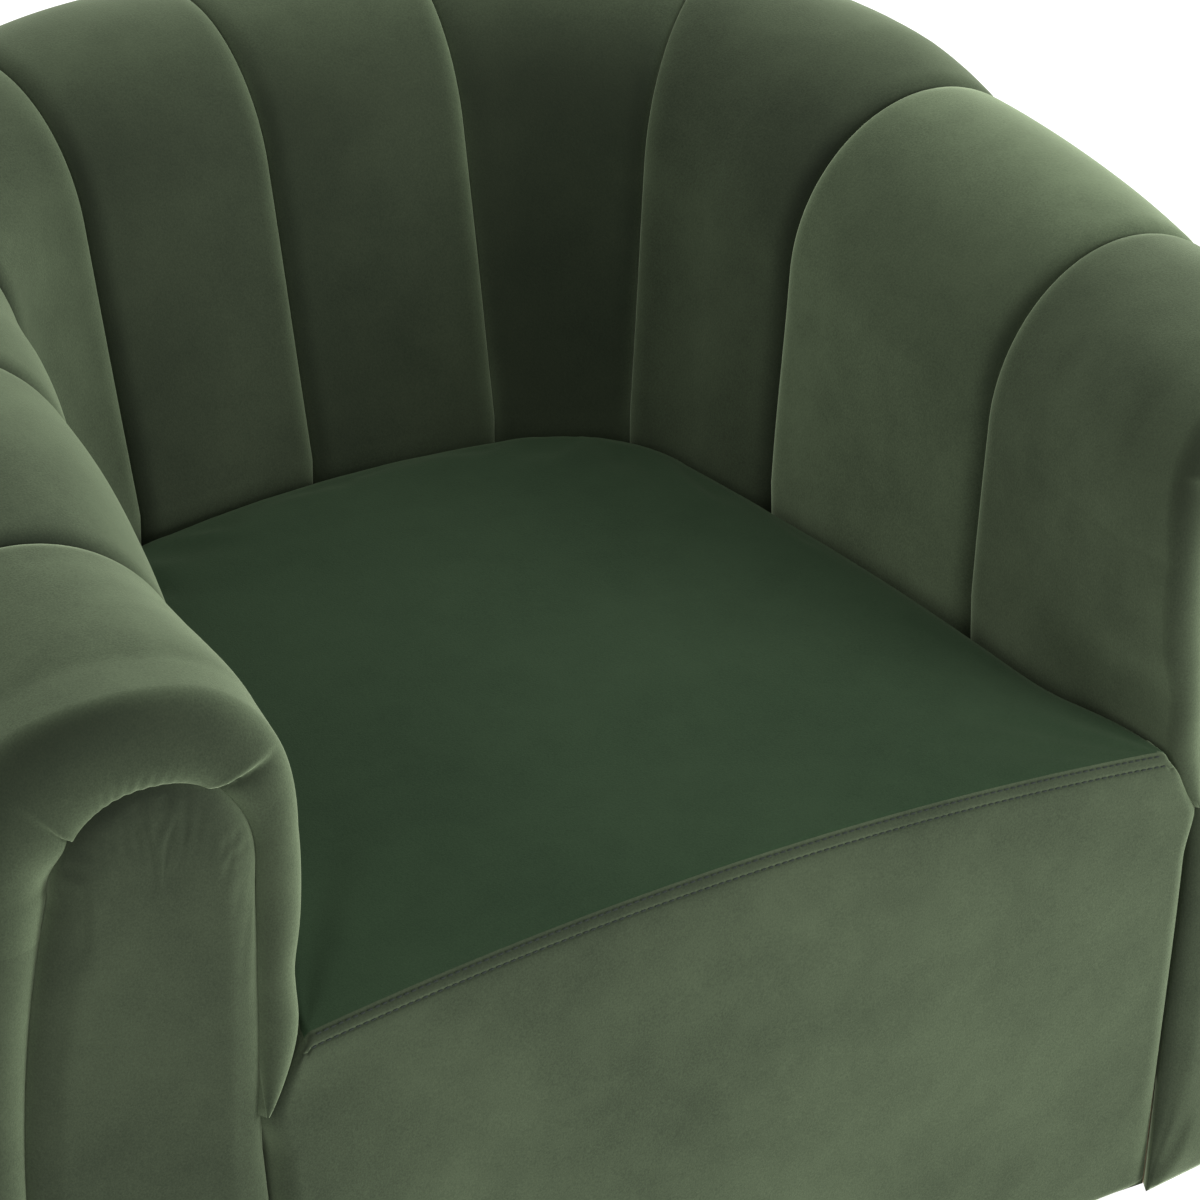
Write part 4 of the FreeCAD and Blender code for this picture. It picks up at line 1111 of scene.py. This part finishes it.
stitching = SimpleNamespace(
    length=0.0030,
    pitch=0.0042,
    radius=0.0005,
    rise=0.0003,
    upper=0.0008,      # the upper row, below the seam
    body=0.6,          # the share of a stitch before its ends taper
    taper=0.35,
    endClear=0.008,
    sides=6,
)
threadMaterial = plainMaterial("darkThread", (0.004, 0.009, 0.006), (0.008, 0.015, 0.010), 0.9, 900.0)


def oneStitch():
    # a short thread along X with tapered ends
    bpy.ops.object.select_all(action="DESELECT")
    bpy.ops.mesh.primitive_cylinder_add(
        vertices=stitching.sides, radius=stitching.radius,
        depth=stitching.body * stitching.length, rotation=(0, math.pi / 2, 0))
    stitch = bpy.context.object
    bpy.ops.object.transform_apply(location=False, rotation=True, scale=False)
    bpy.ops.object.mode_set(mode="EDIT")
    bpy.ops.mesh.select_mode(type="FACE")
    bpy.ops.mesh.select_all(action="DESELECT")
    bpy.ops.object.mode_set(mode="OBJECT")
    for polygon in stitch.data.polygons:
        polygon.select = abs(polygon.normal.x) > 0.5
    bpy.ops.object.mode_set(mode="EDIT")
    bpy.ops.mesh.extrude_faces_move()
    bpy.ops.transform.resize(
        value=(1 / stitching.body, stitching.taper, stitching.taper), center_override=(0, 0, 0))
    bpy.ops.object.mode_set(mode="OBJECT")
    return stitch


def stitchRows():
    stitch = oneStitch()
    half = border.neckHalf
    reach = half - stitching.endClear
    middles = np.arange(-reach, reach, stitching.pitch)
    toFront = Vector((0, -1, 0))
    for down in (stitching.upper, border.stitchBelow):
        for middle in middles:
            across = middle + np.array([-0.5, 0.5]) * stitching.length
            ends = borderSpot(across / half, np.full(2, down))
            along = Vector(ends[1] - ends[0]).normalized()
            side = along.cross(toFront).normalized()
            turned = Matrix((along, side, along.cross(side))).transposed().to_4x4()
            place = Vector(ends.mean(axis=0)) + toFront * stitching.rise
            copied = stitch.copy()
            copied.data = stitch.data.copy()
            copied.data.transform(Matrix.Translation(place) @ turned)
            bpy.context.collection.objects.link(copied)
            copied.select_set(True)
    bpy.data.objects.remove(stitch)
    bpy.context.view_layer.objects.active = bpy.context.selected_objects[0]
    bpy.ops.object.join()
    joined = bpy.context.object
    joined.name = joined.data.name = "seamStitches"
    mendMesh(joined, merge=1e-7)
    return joined


stitches = stitchRows()
stitches.data.materials.append(threadMaterial)
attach(stitches, "seat")
print("stitches made")


# Dust cover stretched under the body, from the front board round to the outside panels

cover = SimpleNamespace(
    out=0.1655,
    front=-0.315,
    top=0.1399,
    thickness=0.0006,
    sag=0.0022,
    sagReach=0.12,
    plate=(0.115, 0.05),
    pucker=0.0005,
    puckerPitch=0.045,
    puckerInset=0.02,
    puckerReach=0.03,
    edgeReach=0.01,
    columns=90,
    rows=70,
    cornerTravel=0.200,
    linePoints=400,
)
armTravel = np.linspace(cornerEnd, armEnd, cover.linePoints)
armPoint, armAcross = seatLine(armTravel)
coverFront = np.interp(-cover.front, -(armPoint + armAcross * cover.out)[:, 1], armTravel)


def coverLine(travel):
    point, normal = seatLine(travel)
    return point + normal * cover.out


across = np.linspace(0, 1, cover.columns)
along = np.linspace(0, 1, cover.rows)
frontX = coverLine(np.array([coverFront]))[0, 0] * (2 * across - 1)
front = np.stack([frontX, np.full_like(frontX, cover.front)], axis=-1)
plan = filledPlan(coverLine, front, coverFront, cover.cornerTravel, along, across)
inset = np.minimum(np.minimum(along, 1 - along)[:, None], np.minimum(across, 1 - across)[None, :])
fromMiddle = np.maximum(np.abs(plan[..., 0]), np.abs(plan[..., 1]))
clear = ramp(fromMiddle, *cover.plate)
low = cover.top - cover.thickness - cover.sag * clear * smoothStep(inset / cover.sagReach)
stapled = np.prod(np.sin(2 * math.pi * plan / cover.puckerPitch), axis=-1)
nearEdge = 1 - smoothStep(np.abs(inset - cover.puckerInset) / cover.puckerReach)
nearEdge = nearEdge * smoothStep(inset / cover.edgeReach)
low = low - cover.pucker * clear * (stapled + 1) * nearEdge
under = withHeight(plan, low)
above = under + np.array([0, 0, cover.thickness])
dustCover = closedShell("dustCover", under, above)
dustCover.data.materials.append(finishes["cover_cloth"])
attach(dustCover, "seat")
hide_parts("dust_cover")
print("dust cover made")


# Floor, light and camera

stage = SimpleNamespace(
    floor=(0.86, 0.86, 0.85),
    floorRoughness=0.9,
    floorGlow=0.5,
    size=12.0,
    level=-0.0005,
    worldLight=0.66,
    aim=(0, 0, 0.45),
    lamps=(               # name, place, width and power
        ("keyLamp", (2.2, -3.0, 1.5), 1.6, 116.0),
        ("fillLamp", (-2.8, -2.4, 1.6), 2.2, 34.0),
        ("topLamp", (0.0, 0.2, 3.4), 2.6, 14.0)),
)


def straightRays(tree):
    # 1 for rays from the camera, a mirror or glass, and 0 for those that only carry light
    rays = tree.nodes.new("ShaderNodeLightPath")
    total = rays.outputs["Is Camera Ray"]
    for name in ("Is Glossy Ray", "Is Transmission Ray"):
        wider = tree.nodes.new("ShaderNodeMath")
        wider.operation = "MAXIMUM"
        tree.links.new(total, wider.inputs[0])
        tree.links.new(rays.outputs[name], wider.inputs[1])
        total = wider.outputs[0]
    return total


bpy.ops.object.select_all(action="DESELECT")
bpy.ops.mesh.primitive_plane_add(size=stage.size, location=(0, 0, stage.level))
floor = bpy.context.object
floor.name = "floor"
floorMaterial, floorNodes, floorLinks, floorShader = newMaterial("paleFloor")
setInputs(floorShader, {
    "Base Color": (*stage.floor, 1),
    "Roughness": stage.floorRoughness,
    "Emission Color": (1, 1, 1, 1)})
glow = floorNodes.new("ShaderNodeMath")
glow.operation = "MULTIPLY"
floorLinks.new(straightRays(floorMaterial.node_tree), glow.inputs[0])
glow.inputs[1].default_value = stage.floorGlow
floorLinks.new(glow.outputs[0], floorShader.inputs["Emission Strength"])
floor.data.materials.append(floorMaterial)

world = bpy.data.worlds.new("studio")
bpy.context.scene.world = world
world.use_nodes = True
worldNodes, worldLinks = world.node_tree.nodes, world.node_tree.links
background = worldNodes["Background"]
background.inputs["Color"].default_value = (1, 1, 1, 1)
strength = worldNodes.new("ShaderNodeMix")
strength.data_type = "FLOAT"
worldLinks.new(straightRays(world.node_tree), strength.inputs[0])
strength.inputs[2].default_value = stage.worldLight
strength.inputs[3].default_value = 1.0
worldLinks.new(strength.outputs[0], background.inputs["Strength"])

for name, place, width, power in stage.lamps:
    lamp = bpy.data.lights.new(name, "AREA")
    lamp.shape = "SQUARE"
    lamp.size = width
    lamp.energy = power
    holder = bpy.data.objects.new(name, lamp)
    bpy.context.collection.objects.link(holder)
    holder.location = place
    holder.rotation_euler = (Vector(stage.aim) - Vector(place)).to_track_quat("-Z", "Y").to_euler()

photoView = SimpleNamespace(
    place=(-1.8196, -3.3356, 2.619),
    turn=math.radians(30.09),
    tilt=math.radians(29.99),
    focalPixels=7875.0,
    imagePixels=1200.0,
    sensor=36.0,
    reach=50.0,
)
camera = bpy.data.cameras.new("photoCamera")
camera.sensor_fit = "HORIZONTAL"
camera.sensor_width = photoView.sensor
camera.lens = photoView.focalPixels / photoView.imagePixels * photoView.sensor
camera.clip_end = photoView.reach
viewer = bpy.data.objects.new("photoCamera", camera)
bpy.context.collection.objects.link(viewer)
viewer.location = photoView.place
lookAlong = Vector((
    math.sin(photoView.turn) * math.cos(photoView.tilt),
    math.cos(photoView.turn) * math.cos(photoView.tilt),
    -math.sin(photoView.tilt)))
viewer.rotation_euler = lookAlong.to_track_quat("-Z", "Y").to_euler()
bpy.context.scene.camera = viewer
bpy.context.scene.view_settings.view_transform = "Standard"
print("stage set")
